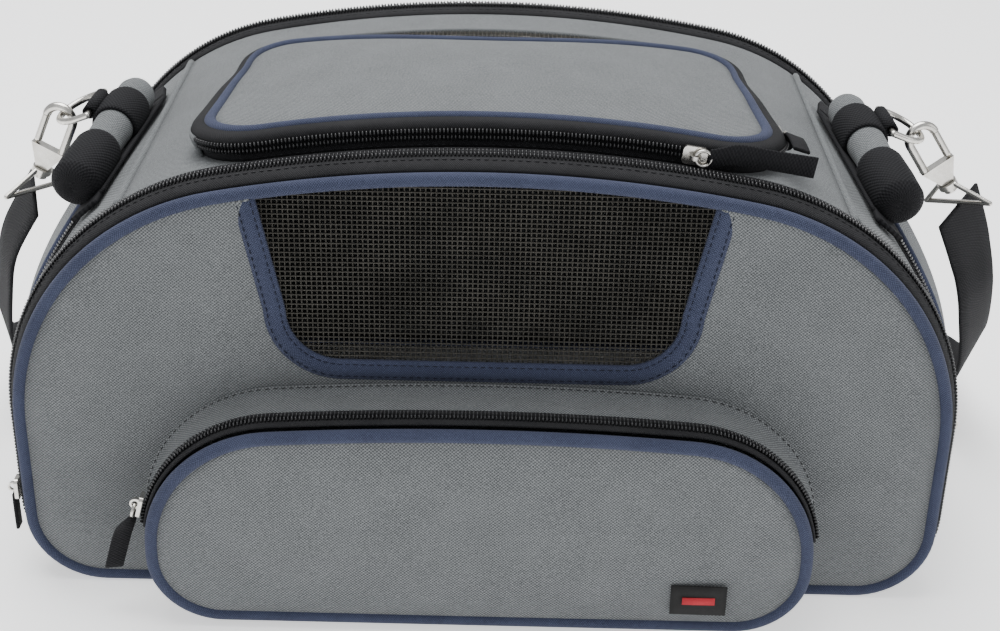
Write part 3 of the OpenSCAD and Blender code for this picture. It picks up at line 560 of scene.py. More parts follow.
def wing_panel(name, side):
    """The padded panel as rows that run from the piping in to the window's edge"""
    edge = window_edge(0, rim_in)
    outer = loaf(body_w - 2 * rim_in, body_h - rim_in, shoulder_r - rim_in, crown_rise,
                 corner_r - rim_in, rim_in)[:, :2]
    line = edge_line(np.concatenate([outer, outer[:1]]), 1.0)
    start = int((np.abs(line - edge[0]).sum(axis=1)).argmin())
    stop = int((np.abs(line - edge[-1]).sum(axis=1)).argmin())
    rim = np.concatenate([line[:start + 1][::-1], line[stop:][::-1]])
    share = np.linspace(0, 1, 241)
    outer, inner = along_line(rim, share), along_line(edge, share)
    rows = []
    for v in np.linspace(0, 1, 15):
        flat = outer + (inner - outer) * v
        puff = 1.1 * math.sin(math.pi * min(1, v * 1.15)) ** 0.6 if v < 0.87 else 0.0
        depth = np.full(len(flat), side * (half_d + puff))
        rows.append(np.stack([flat[:, 0], depth, flat[:, 1]], axis=1))
    return thicken(cloth(name, rows, flat=(0, 2)), padded_t)


def arch_reach(o):
    """Heights and half widths of the upper arch, for interpolation"""
    x = np.linspace(arch_cx + shoulder_r + o, 0, 200)
    return top_of(x, o), x


def rods(name, lines, r):
    """Thin threads along polylines, as one mesh"""
    curve = bpy.data.curves.new(name, "CURVE")
    curve.dimensions = "3D"
    curve.bevel_depth = r * MM
    curve.bevel_resolution = 0
    for line in lines:
        spline = curve.splines.new("POLY")
        spline.points.add(len(line) - 1)
        spline.points.foreach_set("co", np.c_[line * MM, np.ones(len(line))].ravel())
    pick(new_object(name, curve))
    bpy.ops.object.convert(target="MESH")
    return bpy.context.object


def netting(name, side):
    """Threads both ways over the window, which sag a little towards the inside"""
    edge = window_edge(0, rim_in)
    over = 0.25
    lines = []
    for x in np.arange(-window_top, window_top + 0.1, net_cell):
        low = edge[np.abs(edge[:, 0] - x).argmin(), 1] if abs(x) > window_low - window_r else window_z
        high = float(top_of(x, -rim_in))
        if high - low > 4:
            z = np.linspace(low, high, 14)
            lines.append(np.stack([np.full_like(z, x), np.full_like(z, -over * side), z], axis=1))
    for z in np.arange(window_z + 1, body_h - 5, net_cell):
        near = edge[(edge[:, 0] > 0) & (np.abs(edge[:, 1] - z) < 1.2)]
        wide = near[:, 0].max() if len(near) else window_top
        wide = min(wide, np.interp(z, *arch_reach(-rim_in)))
        x = np.linspace(-wide, wide, 24)
        lines.append(np.stack([x, np.full_like(x, over * side), np.full_like(x, z)], axis=1))
    for line in lines:
        x, z = line[:, 0], line[:, 2]
        give = 1.6 * np.cos(np.clip(x / window_top, -1, 1) * math.pi / 2)
        line[:, 1] += side * (half_d - give * np.sin(np.clip((z - window_z) / 90, 0, 1) * math.pi))
    return rods(name, lines, net_r)


for end, side in ENDS:
    wing = end + "_wing"
    panel = wing_panel(end + "_padded_panel", side)
    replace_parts(dress(panel, shell_cloth, wing), end + "_panel")
    net = netting(end + "_net", side)
    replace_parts(dress(net, net_black, wing), end + "_mesh")
    edge = window_edge((trim_w - 2 * trim_lap) / 2, 3.5)
    path = np.zeros((len(edge), 9))
    path[:, 0], path[:, 2] = edge.T
    run = np.gradient(edge, axis=0)
    path[:, 3], path[:, 5] = run[:, 1], -run[:, 0]
    path[:, 7] = side
    path = even(path, 3.0)
    half = trim_w / 2
    face = half_d + padded_t / 2
    binding = sweep(end + "_window_binding", path,
                    [(-half, face - 1.4), (-half + 0.5, face + 0.5), (0, face + 1.1),
                     (half - 0.5, face + 0.6), (half, face - 0.6), (0, face - 0.4)])
    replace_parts(dress(binding, piping_cloth, wing), end + "_window_trim")
    for k, offset in enumerate((-half + 2.2, half - 2.2)):
        row = stitches(f"{end}_window_stitches_{k}", path, offset, face + 0.95, flat_up=False)
        dress(row, thread_navy, wing)

# --- Base: bottom cloth, stiff board and plush cushion ---
# A coated bottom cloth carries a stiff plastic board. A removable plush cushion, thick with
# wadding and pulled in at its corners, lies on the board.
wall_end_a = 70
base_w = body_w - 2 * corner_r * (1 - math.cos(math.radians(wall_end_a))) - 0.4
base_t, board_t, cushion_t, cabin_d = 2.5, 4, 18, 192.4


def rounded_line(w, d, r, step=3.0, y=0.0):
    """A closed rounded rectangle: each row is a point and its outward direction"""
    x, z = w / 2 - r, d / 2 - r
    rows = np.concatenate([arc(-x, z, r, 180, 90), arc(x, z, r, 90, 0), arc(x, -z, r, 0, -90),
                           arc(-x, -z, r, -90, -180)])
    path = np.zeros((len(rows), 9))
    path[:, 0], path[:, 1], path[:, 3], path[:, 4] = rows.T
    path[:, 8] = 1
    return even(path, step, closed=True)[:, [0, 1, 3, 4]] + (0, y, 0, 0)


def plate(name, line, rings, height, grow=0.0):
    """A sheet that fills a closed line: height(share, x, y) is its shape, with share 1 at the edge"""
    middle = line[:, :2].mean(axis=0)
    edge = line[:, :2] + line[:, 2:] * grow
    rows = []
    for share in np.linspace(1, 0, rings):
        flat = middle + (edge - middle) * share
        rows.append(np.column_stack([flat, height(share, flat[:, 0], flat[:, 1])]))
    return cloth(name, np.stack(rows, axis=1), closed=True, flat=(0, 1))


bottom = plate("bottom_cloth", rounded_line(base_w, 233, 4), 10, lambda s, x, y: 1.25 + 0 * x)
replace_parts(dress(thicken(bottom, base_t - 0.3), base_cloth, "bag"), "base_fabric")
paint(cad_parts["base_board"], board_plastic)

cushion_line = rounded_line(base_w - 20, cabin_d - 10, 16, 5)


def crown(share, x, y):
    rise = (1 - share ** 6) ** 0.5
    quilt = np.cos(x * math.pi / 62) ** 2 * np.cos(y * math.pi / 62) ** 2
    return rise * (0.42 + 0.08 * quilt)


top_half = plate("cushion", cushion_line, 26,
                 lambda s, x, y: base_t + board_t + cushion_t * (0.45 + 1.1 * crown(s, x, y) - 0.02))
under_half = plate("cushion_under", cushion_line, 8,
                   lambda s, x, y: base_t + board_t + cushion_t * 0.45 * (s ** 6) + 0.2 + 0 * x)
cushion = join("cushion", top_half, under_half)


def closed_up(piece):
    """Merges a shape's doubles, closes what is open and turns its faces outwards"""
    pick(piece)
    bpy.ops.object.mode_set(mode="EDIT")
    bpy.ops.mesh.select_all(action="SELECT")
    bpy.ops.mesh.remove_doubles(threshold=2e-5)
    bpy.ops.mesh.fill_holes(sides=0)
    bpy.ops.mesh.normals_make_consistent(inside=False)
    bpy.ops.object.mode_set(mode="OBJECT")
    return piece


closed_up(cushion)
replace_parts(dress(cushion, plush, "bag"), "base_cushion")

# --- Shell: top, ends and rear vent ---
# The padded top runs over both shoulders to a corded seam, where the end walls start. The ends
# belly out round their doors. A strip of netting behind the flap lets air through.
seam_a, side_bulge, body_y = 35, 14, 98.2
shoulder_len = math.radians(90 - seam_a) * shoulder_r
straight_len = shoulder_z - corner_r
side_len = shoulder_len + straight_len + math.radians(wall_end_a) * corner_r
flap_w, flap_d, flap_mid, flap_r = 262, 136, -28.5, 32
vent_w, vent_y0, vent_y1 = 186, 47.5, 71.5


def wall(s, y, o):
    """Points on the right end wall, s down from the top seam and o out from its middle"""
    s, y = np.asarray(s, float), np.asarray(y, float)
    upper = math.radians(seam_a) + s / shoulder_r
    lower = (s - shoulder_len - straight_len) / corner_r
    on_shoulder, on_side = s < shoulder_len, s < shoulder_len + straight_len
    nx = np.where(on_shoulder, np.sin(upper), np.where(on_side, 1, np.cos(lower)))
    nz = np.where(on_shoulder, np.cos(upper), np.where(on_side, 0, -np.sin(lower)))
    px = np.where(on_shoulder, arch_cx + shoulder_r * nx,
                  np.where(on_side, body_w / 2, body_w / 2 - corner_r + corner_r * nx))
    pz = np.where(on_shoulder, shoulder_z + shoulder_r * nz,
                  np.where(on_side, shoulder_z - (s - shoulder_len), corner_r + corner_r * nz))
    bulge = side_bulge * (1 - (y / body_y) ** 2) * nx ** 4 * np.clip((pz - 25) / 50, 0, 1)
    return np.stack([px + nx * o + bulge, y, pz + nz * o], axis=-1)


def wall_edge(s0, s1, h, r0, r1, count=200):
    """A rounded rectangle on the wall as rows of s and y, from the middle of its lower edge"""
    line = np.concatenate([
        [(s1, 0)], arc(s1 - r1, h - r1, r1, 0, 90)[:, :2], arc(s0 + r0, h - r0, r0, 90, 180)[:, :2],
        arc(s0 + r0, r0 - h, r0, 180, 270)[:, :2], arc(s1 - r1, r1 - h, r1, 270, 360)[:, :2],
        [(s1, 0)]])
    return along_line(line, np.linspace(0, 1, count + 1)[:-1])


door_s0, door_half, door_r, door_corner = 36.2, 75, 44, 14
door_s1 = shoulder_len + straight_len + 8
door_ring = 15.1


def door_edge(o, count=200):
    return wall_edge(door_s0 - o, door_s1 + o, door_half + o, door_r + o, door_corner + o, count)


def mirrored(rows, side):
    return rows * (side, 1, 1)


wall_rim, door_rim = wall_edge(0, side_len, body_y, 1, 1), door_edge(door_ring)
for name, side in SIDES:
    rows = []
    for share in np.linspace(0, 1, 9):
        at = wall_rim + (door_rim - wall_rim) * share
        rows.append(mirrored(wall(at[:, 0], at[:, 1], 0.5 * math.sin(math.pi * share)), side))
    end = thicken(cloth(name + "_end_cloth", np.stack(rows, axis=1), closed=True), 2.7)
    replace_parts(dress(end, shell_cloth, "bag"), name + "_end_panel")

reach = arch_cx + shoulder_r * math.sin(math.radians(seam_a))
across, along = np.linspace(-reach, reach, 67), np.linspace(-body_y, body_y, 41)
top_rows = [np.column_stack([across, np.full_like(across, y), top_of(across, 0)]) for y in along]
top = thicken(cloth("top_cloth", top_rows, flat=(0, 1)), 2.8)


def cut_hole(piece, line):
    """Cuts an upright hole with a closed outline through a piece"""
    rows = [np.column_stack([line[:, :2], np.full(len(line), z)]) for z in (150, 260)]
    tool = closed_up(cloth("tool", np.stack(rows, axis=1), closed=True))
    cut = piece.modifiers.new("cut", "BOOLEAN")
    cut.operation = "DIFFERENCE"
    cut.solver = "EXACT"
    cut.object = tool
    pick(piece)
    bpy.ops.object.modifier_apply(modifier="cut")
    bpy.data.objects.remove(tool)


cut_hole(top, rounded_line(flap_w - 10, flap_d - 10, flap_r - 5, 3, flap_mid))
cut_hole(top, rounded_line(vent_w, vent_y1 - vent_y0, 3, 3, (vent_y0 + vent_y1) / 2))
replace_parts(dress(top, shell_cloth, "bag"), "top_panel")


def straight(points, outward, side):
    """A path through points with one outward and one sideways direction"""
    return np.column_stack([points, np.tile([*outward, *side], (len(points), 1))])


for name, side in SIDES:
    tilt = math.radians(seam_a)
    y = np.linspace(-body_y, body_y, 40)
    seam = np.column_stack([np.full_like(y, side * reach), y, np.full_like(y, top_of(reach, 0))])
    path = straight(seam, (side * math.sin(tilt), 0, math.cos(tilt)),
                    (math.cos(tilt), 0, -side * math.sin(tilt)))
    cord = sweep(name + "_shoulder_seam", path, ring(1.9, 1.6))
    dress(cord, shell_cloth, "bag")

lines = []
for x in np.arange(-vent_w / 2, vent_w / 2 + 0.1, net_cell):
    y = np.linspace(vent_y0 - 1, vent_y1 + 1, 6)
    lines.append(np.column_stack([np.full_like(y, x), y, np.full_like(y, top_of(x, 0.3))]))
for y in np.arange(vent_y0, vent_y1 + 0.1, net_cell):
    x = np.linspace(-vent_w / 2 - 1, vent_w / 2 + 1, 30)
    lines.append(np.column_stack([x, np.full_like(x, y), top_of(x, -0.3)]))
vent_net = rods("rear_vent_net", lines, net_r)
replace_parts(dress(vent_net, net_black, "bag"), "top_rear_mesh")
paint(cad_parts["wire_hoops"], nickel_plate)

# --- Netting gussets between the body and the wings ---
# A strip of fine netting lies folded inside the zip bands.
for end, side in ENDS:
    strip = sweep(end + "_gusset_net", standing(arch, side, 5),
                  [(-3.4, depth) for depth in np.linspace(104.4, 118.8, 9)], closed=True, tube=False)
    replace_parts(dress(strip, gusset_net), end + "_gusset")
    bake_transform(strip)

# --- Top flap ---
# A padded flap stands over its opening on a wall of black tape with a coil zip all round but at
# the left, where a strip of the shell's cloth hinges it. Navy piping edges it.
flap_line = rounded_line(flap_w, flap_d, flap_r, 2.5, flap_mid)
middle_row = int(np.argmin(np.abs(flap_line[:, 1] - flap_mid) + 9 * (flap_line[:, 0] > 0)))
flap_line = np.roll(flap_line, -middle_row, axis=0)


def settled(piece):
    """The soft flap's shape: its rear edge sinks, its sides draw in and its front corners swell"""
    mesh = piece.data
    places = np.empty(len(mesh.vertices) * 3, np.float32)
    mesh.vertices.foreach_get("co", places)
    x, y, z = (places.reshape(-1, 3).T / MM).astype(float)
    lifted = np.clip((z - top_of(x, 0) - 1.5) / 10, 0, 1)
    rear = np.clip((y - flap_mid) / (flap_d / 2), 0, 1)
    outer = np.abs(x / (flap_w / 2))
    swell = 4 * np.exp(-((y + 72) / 26) ** 2) - 5.5 * np.exp(-((y - 8) / 26) ** 2)
    z -= 7 * np.exp(-(x / 75) ** 2) * rear ** 2 * lifted
    x += np.sign(x) * swell * outer ** 6 * lifted
    y -= 3 * outer ** 4 * np.exp(-((y + 96) / 30) ** 2) * lifted
    mesh.vertices.foreach_set("co", (np.column_stack([x, y, z]) * MM).astype(np.float32).ravel())
    return piece


def over_top(line, out, o):
    """Points beside a line in plan, o over the top's middle surface"""
    x, y = line[:, 0] + line[:, 2] * out, line[:, 1] + line[:, 3] * out
    return np.column_stack([x, y, top_of(x, o)])


def flap_band(name, section, line=flap_line, closed=True):
    """A tube round the flap, or an open sheet along a part of its line"""
    return cloth(name, np.stack([over_top(line, *at) for at in section], axis=1), closed, closed)


def flap_path(o, line):
    """A path along a line in plan, o over the top"""
    rows = np.zeros((len(line), 9))
    rows[:, :3], rows[:, 3:5], rows[:, 8] = over_top(line, 0, o), line[:, 2:], 1
    return rows


zipped = flap_line[flap_line[:, 0] > 3 - flap_w / 2]
lower_tape = flap_band("flap_lower_tape", [(0.2, 1.2), (0.4, 3.5), (0.2, 5.4), (-0.4, 7.7),
                                           (-2.0, 7.8), (-2.2, 9.4), (-2.8, 9.4), (-2.7, 1.2)])
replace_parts(dress(settled(lower_tape), zip_tape, "bag"), "top_body_zip")
dress(settled(coil("flap_lower_coil", flap_path(6.5, zipped), 1.0, 0)), coil_nylon, "bag")
dress(stitches("flap_lower_stitches", flap_path(3.0, zipped), 0.5, 0), thread_black,
      "bag")
upper_tape = flap_band("flap_upper_tape", [(-0.4, 8.3), (0.3, 9.6), (0.7, 11.6), (0, 13.2),
                                           (-1.6, 14), (-5, 14.2), (-6, 13.4), (-4.5, 12.4),
                                           (-1.8, 11.5), (-1.8, 8.3)])
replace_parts(dress(settled(upper_tape), zip_tape, "top_flap"), "top_flap_zip")
dress(settled(coil("flap_upper_coil", flap_path(9.5, zipped), 1.0, 0)), coil_nylon,
      "top_flap")
edge = [(-7 + 2.5 * math.cos(a), 13.3 + 2.5 * math.sin(a))
        for a in np.linspace(0, 2 * math.pi, 13)[:-1]]
flap_cord = flap_band("flap_piping_cord", edge)
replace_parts(dress(settled(flap_cord), piping_cloth, "top_flap"), "top_flap_piping")


def flap_height(share, x, y):
    return top_of(x, 12.6 + 2.4 * (1 - share ** 3))


flap_skin = thicken(plate("flap_cloth", flap_line, 22, flap_height, grow=-7.6), 2.6)
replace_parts(dress(settled(flap_skin), shell_cloth, "top_flap"), "top_flap_panel")
hinge_line = flap_line[flap_line[:, 0] <= 4 - flap_w / 2]
hinge_line = hinge_line[np.argsort(hinge_line[:, 1])]
hinge_section = [(1.4, 1.6), (1.6, 4), (1.7, 6.5), (1.5, 9), (0.6, 11.4)]
hinge = flap_band("flap_hinge_cloth", hinge_section, hinge_line, closed=False)
thicken(hinge, 1.2)
dress(settled(hinge), shell_cloth)
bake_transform(hinge)

# --- End doors ---
# Each end wall has a door with navy piping, unzipped round its two sides and top. Its padded
# cloth carries black tape, with the other half of the coil on the wall.
door_middle = np.array([(door_s0 + door_s1) / 2, 0])


def round_door(side, section, count=200):
    """Lines round a door: each is some way outside its edge and some way out from the wall"""
    return np.stack([mirrored(wall(*door_edge(o, count).T, out), side) for o, out in section],
                    axis=1)


for name, side in SIDES:
    body = name + "_door"
    loops = []
    inner = door_edge(0, 120)
    for share in np.linspace(0.995, 0, 20):
        at = door_middle + (inner - door_middle) * share
        loops.append(mirrored(wall(at[:, 0], at[:, 1], 0.2 + 1.6 * (1 - share ** 5)), side))
    door = thicken(cloth(name + "_door_cloth", np.stack(loops, axis=1), closed=True), 2.6)
    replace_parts(dress(door, shell_cloth, body), name + "_door_panel")
    edge = [(1.6 + 1.5 * math.cos(a), 2 + 1.5 * math.sin(a)) for a in np.linspace(0, 5.76, 12)]
    cord = cloth(name + "_door_piping", round_door(side, edge), closed=True, tube=True)
    dress(cord, piping_cloth, body)
    section = [(0.4, -1), (0.4, 1.2), (5, 2), (11.2, 1.6), (11.2, 0.4), (5, -1)]
    tape = cloth(name + "_door_tape", round_door(side, section), closed=True, tube=True)
    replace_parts(dress(tape, zip_tape, body), name + "_door_trim")
    section = [(12.6, 0.4), (12.6, 1.6), (14.9, 1.9), (17, 1.6), (16, 0.2)]
    frame_tape = cloth(name + "_door_frame_tape", round_door(side, section), closed=True, tube=True)
    if side > 0:
        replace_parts(frame_tape, "door_body_zips")
    dress(frame_tape, zip_tape, "bag")
    for o, who, rides in ((10.6, "inner", body), (13.3, "outer", "bag")):
        low, high = round_door(side, [(o, 2.1), (o, 3.1)], 400).transpose(1, 0, 2)
        up = (high - low) / np.linalg.norm(high - low, axis=1)[:, None]
        path = np.column_stack([low, up, np.tile((0, 1, 0), (len(low), 1))])
        dress(coil(f"{name}_door_{who}_coil", path, 0, 0, closed=True), coil_nylon, rides)

# --- Front pocket ---
# A shallow box pocket on the front wing. Its grey gusset rises from a double stitched welt, a
# black coil zip runs over its top and sides, and navy piping edges its padded face.
pocket_w, pocket_h = 304, 107.5
pocket_line = loaf(pocket_w, pocket_h, 62, 3.5, 34, 3)
pocket_zip_z = 50
pocket_y, lowest_z = 156, 0.3


def pocket_piece(piece, material, slot, *nodes):
    """A piece of the pocket, pressed up flat where it would pass below the floor"""
    if nodes:
        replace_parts(piece, *nodes)
    dress(piece, material, "front_wing")
    for corner in piece.data.vertices:
        corner.co.z = max(corner.co.z, lowest_z * MM)
    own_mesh(piece)
    return piece


round_pocket = standing(pocket_line, -1, 3.5)
over_pocket = standing(pocket_line, -1, 3.5, pocket_zip_z)
under_pocket = round_pocket[round_pocket[:, 2] < pocket_zip_z + 2]
lowest = int(np.argmax(np.linalg.norm(np.diff(under_pocket[:, :3], axis=0), axis=1)))
under_pocket = np.roll(under_pocket, -lowest - 1, axis=0)
skirt = [(5.5, 123.9), (3.6, 124.6), (2.2, 126.5), (1.0, 130), (0.4, 136), (0.2, 141.2)]
pocket_piece(thicken(sweep("pocket_gusset_cloth", round_pocket, skirt, closed=True, tube=False),
                     2.2), shell_cloth, "shell_cloth", "pocket_gusset")
pocket_piece(thicken(sweep("pocket_foot_cloth", under_pocket, [(0.2, 140.5), (0, 147), (-0.4, 153.2)],
                           tube=False), 2.4), shell_cloth, "shell_cloth")
for k, (out, depth) in enumerate(((5.2, 125.3), (3.3, 126.3))):
    pocket_piece(stitches(f"pocket_welt_stitches_{k}", round_pocket, out, depth, closed=True),
                 thread_black, "shell_cloth")
pocket_piece(sweep("pocket_rear_tape", over_pocket, [(0.9, 141.2), (1.9, 141.6), (2.0, 146.4),
                                                     (1.0, 146.8), (-0.6, 144)]),
             zip_tape, "zip_tape", "pocket_rear_zip")
pocket_piece(coil("pocket_rear_coil", over_pocket, 2.9, 145.6), coil_nylon, "zip_tape")
pocket_piece(sweep("pocket_front_tape", over_pocket, [(1.0, 147.4), (2.0, 147.8), (1.9, 152.4),
                                                      (0.9, 153.2), (-0.6, 150)]),
             zip_tape, "zip_tape", "pocket_front_zip")
pocket_piece(coil("pocket_front_coil", over_pocket, 2.9, 148.6), coil_nylon, "zip_tape")
pocket_piece(sweep("pocket_piping_cord", round_pocket, ring(piping_r, -2.8, pocket_y), closed=True),
             piping_cloth, "piping_cloth", "pocket_piping")
face_rows = []
face_edge = spots(round_pocket, -4.2, pocket_y)
face_middle = np.array([0, -pocket_y, 55])
for share in np.linspace(1, 0, 24):
    rows = face_middle + (face_edge - face_middle) * share
    rows[:, 1] -= 3.4 * (1 - share ** 4) * (0.8 + 0.2 * np.cos(rows[:, 0] / 41))
    face_rows.append(rows)
pocket_piece(thicken(cloth("pocket_face_cloth", np.stack(face_rows, axis=1), closed=True,
                           flat=(0, 2)), 2.6), shell_cloth, "shell_cloth", "pocket_face")
label = [[(x, -160.5 - 0.25 * math.cos(x / 9), z) for z in np.linspace(14.7, 30.3, 5)]
         for x in np.linspace(88.2, 113.8, 9)]
pocket_piece(thicken(cloth("label", label, flat=(0, 2)), 0.8), label_weave, "label_weave",
             "label_patch")
bar = [[(x, -161.3, z) for z in (20.6, 24.4)] for x in (93.5, 108.5)]
pocket_piece(thicken(cloth("label_bar", bar, flat=(0, 2)), 0.4), label_thread, "label_weave")

# --- Handles ---
# A padded grip in the shell's cloth lies along each shoulder in two wide loops of ribbed webbing
# on a narrower strip. The strip's folded ends are sewn to the shell. The rear loop holds a D-ring.
grip_mid, grip_r, grip_len, webbing_t = (185.648, -16, 188.404), 9.5, 96, 2.2
grip_turn = (Matrix.Rotation(math.radians(10), 4, "Z") @ Matrix.Rotation(math.radians(41.2), 4, "Y")
             @ Matrix.Rotation(math.radians(6.5), 4, "X"))
# Where each end of the strip leaves the grip, where its foot is sewn down, and half its width
strip_ends = ((-53.0, (185.68, -78, 173.7), 8.5), (51.0, (177.899, 56, 181.804), 7.5))


def placed(rows, turn, origin, side=1):
    """Rows of points, or of points with two directions, moved from a piece's own frame"""
    turn = np.array(turn)[:3, :3]
    parts = [rows[..., k:k + 3] @ turn.T for k in range(0, rows.shape[-1], 3)]
    parts[0] = parts[0] + np.array(origin)
    return np.concatenate([part * (side, 1, 1) for part in parts], axis=-1)


def round_grip(count=40):
    a = np.linspace(0, 2 * math.pi, count, endpoint=False)
    rows = np.zeros((count, 9))
    rows[:, 3], rows[:, 5], rows[:, 7] = np.cos(a), np.sin(a), 1
    return rows


def band(y0, width):
    """A webbing loop's section round the grip: plump in the middle with rolled edges"""
    inner, half = grip_r - 0.2, width / 2
    line = [(0, -half + 0.6), (0.7, -half), (1, -half * 0.85), (1.15, 0), (1, half * 0.85), (0.7, half),
            (0, half - 0.6)]
    return [(inner + webbing_t * share, y0 + y) for share, y in line]


for name, side in SIDES:
    body = name + "_handle"
    grip_path = placed(round_grip(), grip_turn, grip_mid, side)
    bulge = [(0.2, -grip_len / 2), (5.5, -grip_len / 2 + 0.2), (8.6, -grip_len / 2 + 1.6)]
    bulge += [(grip_r - 0.1 + 0.25 * math.sin(y / 5.0), y)
              for y in np.linspace(-grip_len / 2 + 5, grip_len / 2 - 5, 24)]
    bulge += [(8.6, grip_len / 2 - 1.6), (5.5, grip_len / 2 - 0.2), (0.2, grip_len / 2)]
    grip = closed_up(sweep(name + "_grip_pad", grip_path, bulge, closed=True, tube=False))
    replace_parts(dress(grip, shell_cloth, body), name + "_grip")
    wrap = [(0.3, -57.5), (4.5, -57.8), (8.6, -56.6), (10.9, -54), *band(-37, 38)[2:]]
    front = closed_up(sweep(name + "_front_loop", grip_path, wrap, closed=True, tube=False))
    rear = sweep(name + "_rear_loop", grip_path, band(18, 25), closed=True)
    level = -grip_r - webbing_t / 2
    strip_rows = [[(x, y, level + h) for x, h in ((-7.5, -0.9), (7.5, -0.9), (7.5, 0.9), (-7.5, 0.9))]
                  for y in np.linspace(-55, 52, 24)]
    strip_rows = placed(np.array(strip_rows, float), grip_turn, grip_mid, side)
    strip = closed_up(cloth(name + "_handle_strip", strip_rows, tube=True))
    feet = []
    for end, foot, wide in strip_ends:
        start = placed(np.array([[(x, end, level) for x in (-7, 7)]], float), grip_turn, grip_mid)[0]
        lean = (start[1] - start[0]) / np.linalg.norm(start[1] - start[0])
        tip = np.array(foot)
        goal = np.array([tip - lean * wide, tip + lean * wide])
        rows = [start + (goal - start) * t for t in np.linspace(0, 1, 8)]
        rows = mirrored(np.array(rows), side)
        feet.append(thicken(cloth(name + "_foot", rows), 2.4))
    tunnel_path = round_grip(20)
    tunnel_path[:, :3] += (5, 0, 13.08)
    tunnel_path = placed(tunnel_path, grip_turn, grip_mid, side)
    tunnel = sweep(name + "_tunnel", tunnel_path, [(2.05, 8), (3.4, 7.4), (3.6, 18), (3.4, 28.6),
                                                   (2.05, 28)], closed=True)
    loops = join(name + "_handle_loops", front, rear, strip, tunnel, *feet)
    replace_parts(dress(loops, ribbed_webbing, body), name + "_handle_webbing")
    for node in ("dring", "hook", "gate"):
        paint(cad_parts[f"{name}_{node}"], nickel_plate)
paint(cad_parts["strap_swivel_loops"], nickel_plate)

# --- Shoulder strap ---
# Flat ribbed webbing from one snap hook, down beside the bag, over the floor behind it and up to
# the other hook. A moulded adjuster slides on the run behind the bag.
strap_w, strap_t, back_y, lying_z = 38, 1.8, 170, 1.7
strap_start, strap_end = np.array([239.785, 9.447, 151.008]), np.array([-232.923, 8.237, 147.146])
# A row of the route is a point and the direction across the webbing there
strap_route = np.array([
    [*(strap_start + (0.5, 0, -1.8)), 0.7, 0.7, 0], [*(strap_start + (12, 4, -30)), 0.68, 0.73, 0],
    [258, 12, 95, 0.62, 0.78, 0], [264, 26, 58, 0.5, 0.86, 0.05], [262, 52, 28, 0.35, 0.9, 0.25],
    [258, 92, 15, 0.5, 0.8, 0.5], [246, 136, 7, 0.85, 0.5, 0.2],
    [212, back_y - 3, lying_z, 0.3, 0.95, 0], [170, back_y, lying_z, 0.05, 1, 0],
    [90, back_y, lying_z, 0, 1, 0], [0, back_y, lying_z, 0, 1, 0], [-90, back_y, lying_z, 0, 1, 0],
    [-170, back_y, lying_z, -0.05, 1, 0], [-212, back_y - 3, lying_z, -0.3, 0.95, 0],
    [-246, 136, 7, -0.85, 0.5, 0.2], [-258, 92, 15, -0.5, 0.8, 0.5], [-262, 52, 28, -0.35, 0.9, 0.25],
    [-262, 26, 58, -0.4, 0.9, 0.05], [-255, 12, 95, -0.4, 0.91, 0],
    [*(strap_end + (-17, 4, -30)), -0.42, 0.9, 0], [*(strap_end + (-0.5, 0, -1.8)), -0.42, 0.9, 0]])


def smooth(points, steps):
    """A smooth line through points"""
    made = []
    last = len(points) - 1
    for k in range(last):
        p0, p1, p2, p3 = (points[min(max(i, 0), last)] for i in (k - 1, k, k + 1, k + 2))
        for t in np.arange(steps) / steps:
            made.append(0.5 * (2 * p1 + (p2 - p0) * t + (2 * p0 - 5 * p1 + 4 * p2 - p3) * t * t
                               + (3 * p1 - p0 - 3 * p2 + p3) * t ** 3))
    return np.array(made + [points[-1]])


line = smooth(strap_route, 10)
run = np.gradient(line[:, :3], axis=0)
run /= np.linalg.norm(run, axis=1)[:, None]
side_way = line[:, 3:] - run * (line[:, 3:] * run).sum(axis=1)[:, None]
side_way /= np.linalg.norm(side_way, axis=1)[:, None]
strap_path = np.column_stack([line[:, :3], np.cross(run, side_way), side_way])
half, thin = strap_w / 2, strap_t / 2
strap_section = [(-thin, -half + 0.5), (0, -half), (thin, -half + 0.5), (thin, -half / 2), (thin, 0),
                 (thin, half / 2), (thin, half - 0.5), (0, half), (-thin, half - 0.5),
                 (-thin, half / 2), (-thin, 0), (-thin, -half / 2)]
strap = sweep("shoulder_strap_webbing", strap_path, strap_section)
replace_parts(dress(strap, ribbed_webbing, "bag"), "shoulder_strap")
paint(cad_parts["strap_adjuster"], acetal)

# --- Zip sliders and their ribbons ---
# Nickel sliders on all the coils. The flap's two and the pocket's carry a wire ring with a black
# ribbon, and the others a ribbon sewn straight to the slider.


def axes(x, z):
    x, z = Vector(x).normalized(), Vector(z).normalized()
    return Matrix((x, z.cross(x), z)).transposed().to_4x4()


ring_r, lug_z, ribbon_t = 3.6, 3.4, 1.5
tilt, lean = math.radians(8.47), math.radians(14.955)
pocket_at = (-90 - 66.1 * math.cos(lean), -147.1, 42 + 66.1 * math.sin(lean))
top_front = (axes((math.cos(tilt), 0, -math.sin(tilt)), (0, -1, 0)), (91, -98.6, 216.761))
top_side = (axes((0, -1, 0), (1, 0, 0)), (133.1, -56.5, 209.452))
pocket_side = (axes((-math.sin(lean), 0, -math.cos(lean)), (-math.cos(lean), 0, math.sin(lean))),
               pocket_at)


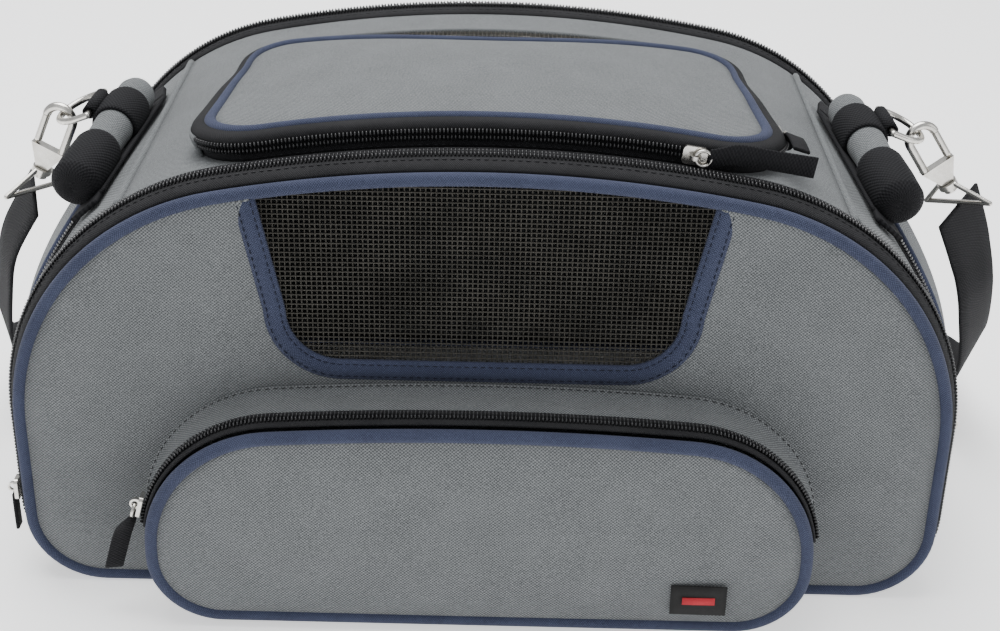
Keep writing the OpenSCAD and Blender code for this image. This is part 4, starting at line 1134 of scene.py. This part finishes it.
def ribbon(name, spot, points, wide):
    """Folded ribbon through local points; each row is a point and the direction across"""
    rows = smooth(np.array(points, float), 6)
    run = np.gradient(rows[:, :3], axis=0)
    across = rows[:, 3:] / np.linalg.norm(rows[:, 3:], axis=1)[:, None]
    up = np.cross(run, across)
    up /= np.linalg.norm(up, axis=1)[:, None]
    path = placed(np.column_stack([rows[:, :3], up, across]), spot[0], spot[1])
    h, t = wide / 2, ribbon_t / 2
    return sweep(name, path, [(-t, -h + 0.4), (0, -h), (t, -h + 0.4), (t, 0), (t, h - 0.4), (0, h),
                              (-t, h - 0.4), (-t, 0)])


def wire_ring(name, spot):
    """The wire ring in a slider's lug"""
    bpy.ops.object.select_all(action="DESELECT")
    bpy.ops.mesh.primitive_torus_add(major_radius=ring_r * MM, minor_radius=0.8 * MM,
                                     major_segments=32, minor_segments=10)
    piece = bpy.context.object
    piece.name = piece.data.name = name
    move = spot[0] @ Matrix.Translation(Vector((ring_r, 0, lug_z)) * MM)
    piece.data.transform(Matrix.Translation(Vector(spot[1]) * MM) @ move)
    bpy.ops.object.shade_smooth()
    return piece


# Each pull's slider, its ribbon's points and its width
pulls = {
    "top_front": (top_front, [(6, 0, 3.4, 0, 1, 0), (10, 1.5, 3.4, 0, 1, 0.1), (18, 4.2, 3.2, 0, 1, 0),
                              (34, 4.4, 3.4, 0, 1, 0.1), (53, 4.2, 3.4, 0, 1, 0)], 10),
    "top_side": (top_side, [(6, 0, 3.4, 0, 1, 0), (9, -1.2, 3.6, 0.1, 1, 0.6), (13, -5.6, 5.4, 0, 0.4, 1),
                            (24, -7.4, 5.8, 0, 0.3, 1), (36, -7.8, 5.8, 0, 0.3, 1)], 8),
    "pocket": (pocket_side, [(6, 0, 3.4, 0, 1, 0), (11, 0, 4.4, 0, 0.8, 0.6), (20, -1.5, 6, 0, 0.5, 0.9),
                             (39, -2, 6.4, 0, 0.5, 0.9)], 9)}
for name, (spot, points, wide) in pulls.items():
    hoop = wire_ring(name + "_pull_ring", spot)
    tab = ribbon(name + "_pull_ribbon", spot, points, wide)
    if name == "pocket":
        for piece in (tab, hoop):
            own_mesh(piece)
    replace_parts(dress(tab, ribbed_webbing, name + "_pull"), name + "_pull")
    dress(hoop, nickel_plate, name + "_pull")
for name in pulls:
    paint(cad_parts[name + "_slider"], nickel_plate)

# The hidden sliders copy the top front one's shape
slider_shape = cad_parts["top_front_slider"].data
back = (Matrix.Translation(Vector(top_front[1]) * MM) @ top_front[0]).inverted()
others = {"front_wing": (axes((0, 0, -1), (-1, 0, 0)), (-221.6, -108.5, 42)),
          "rear_wing": (axes((0, 0, -1), (1, 0, 0)), (221.6, 108.5, 42))}
for name, side in SIDES:
    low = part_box(name + "_door_slider")
    x = (low[0].x if side > 0 else low[1].x) / MM
    z = low[1].z / MM - 5.5
    y = (low[0].y + low[1].y) / (2 * MM)
    others[name + "_door"] = (axes((0, 0, -1), (side, 0, 0)), (x, y, z))
for name, spot in others.items():
    shape = slider_shape.copy()
    shape.transform(Matrix.Translation(Vector(spot[1]) * MM) @ spot[0] @ back)
    piece = new_object(name + "_zip_slider", shape)
    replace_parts(dress(piece, nickel_plate, name + "_slider"), name + "_slider")
    tab = ribbon(name + "_zip_ribbon", spot, [(2.8, 0, 2.7, 0, 1, 0), (9, 0, 2.8, 0, 1, 0),
                                              (22.4, 0, 2.7, 0, 1, 0)], 6.8)
    dress(tab, ribbed_webbing, name + "_slider")
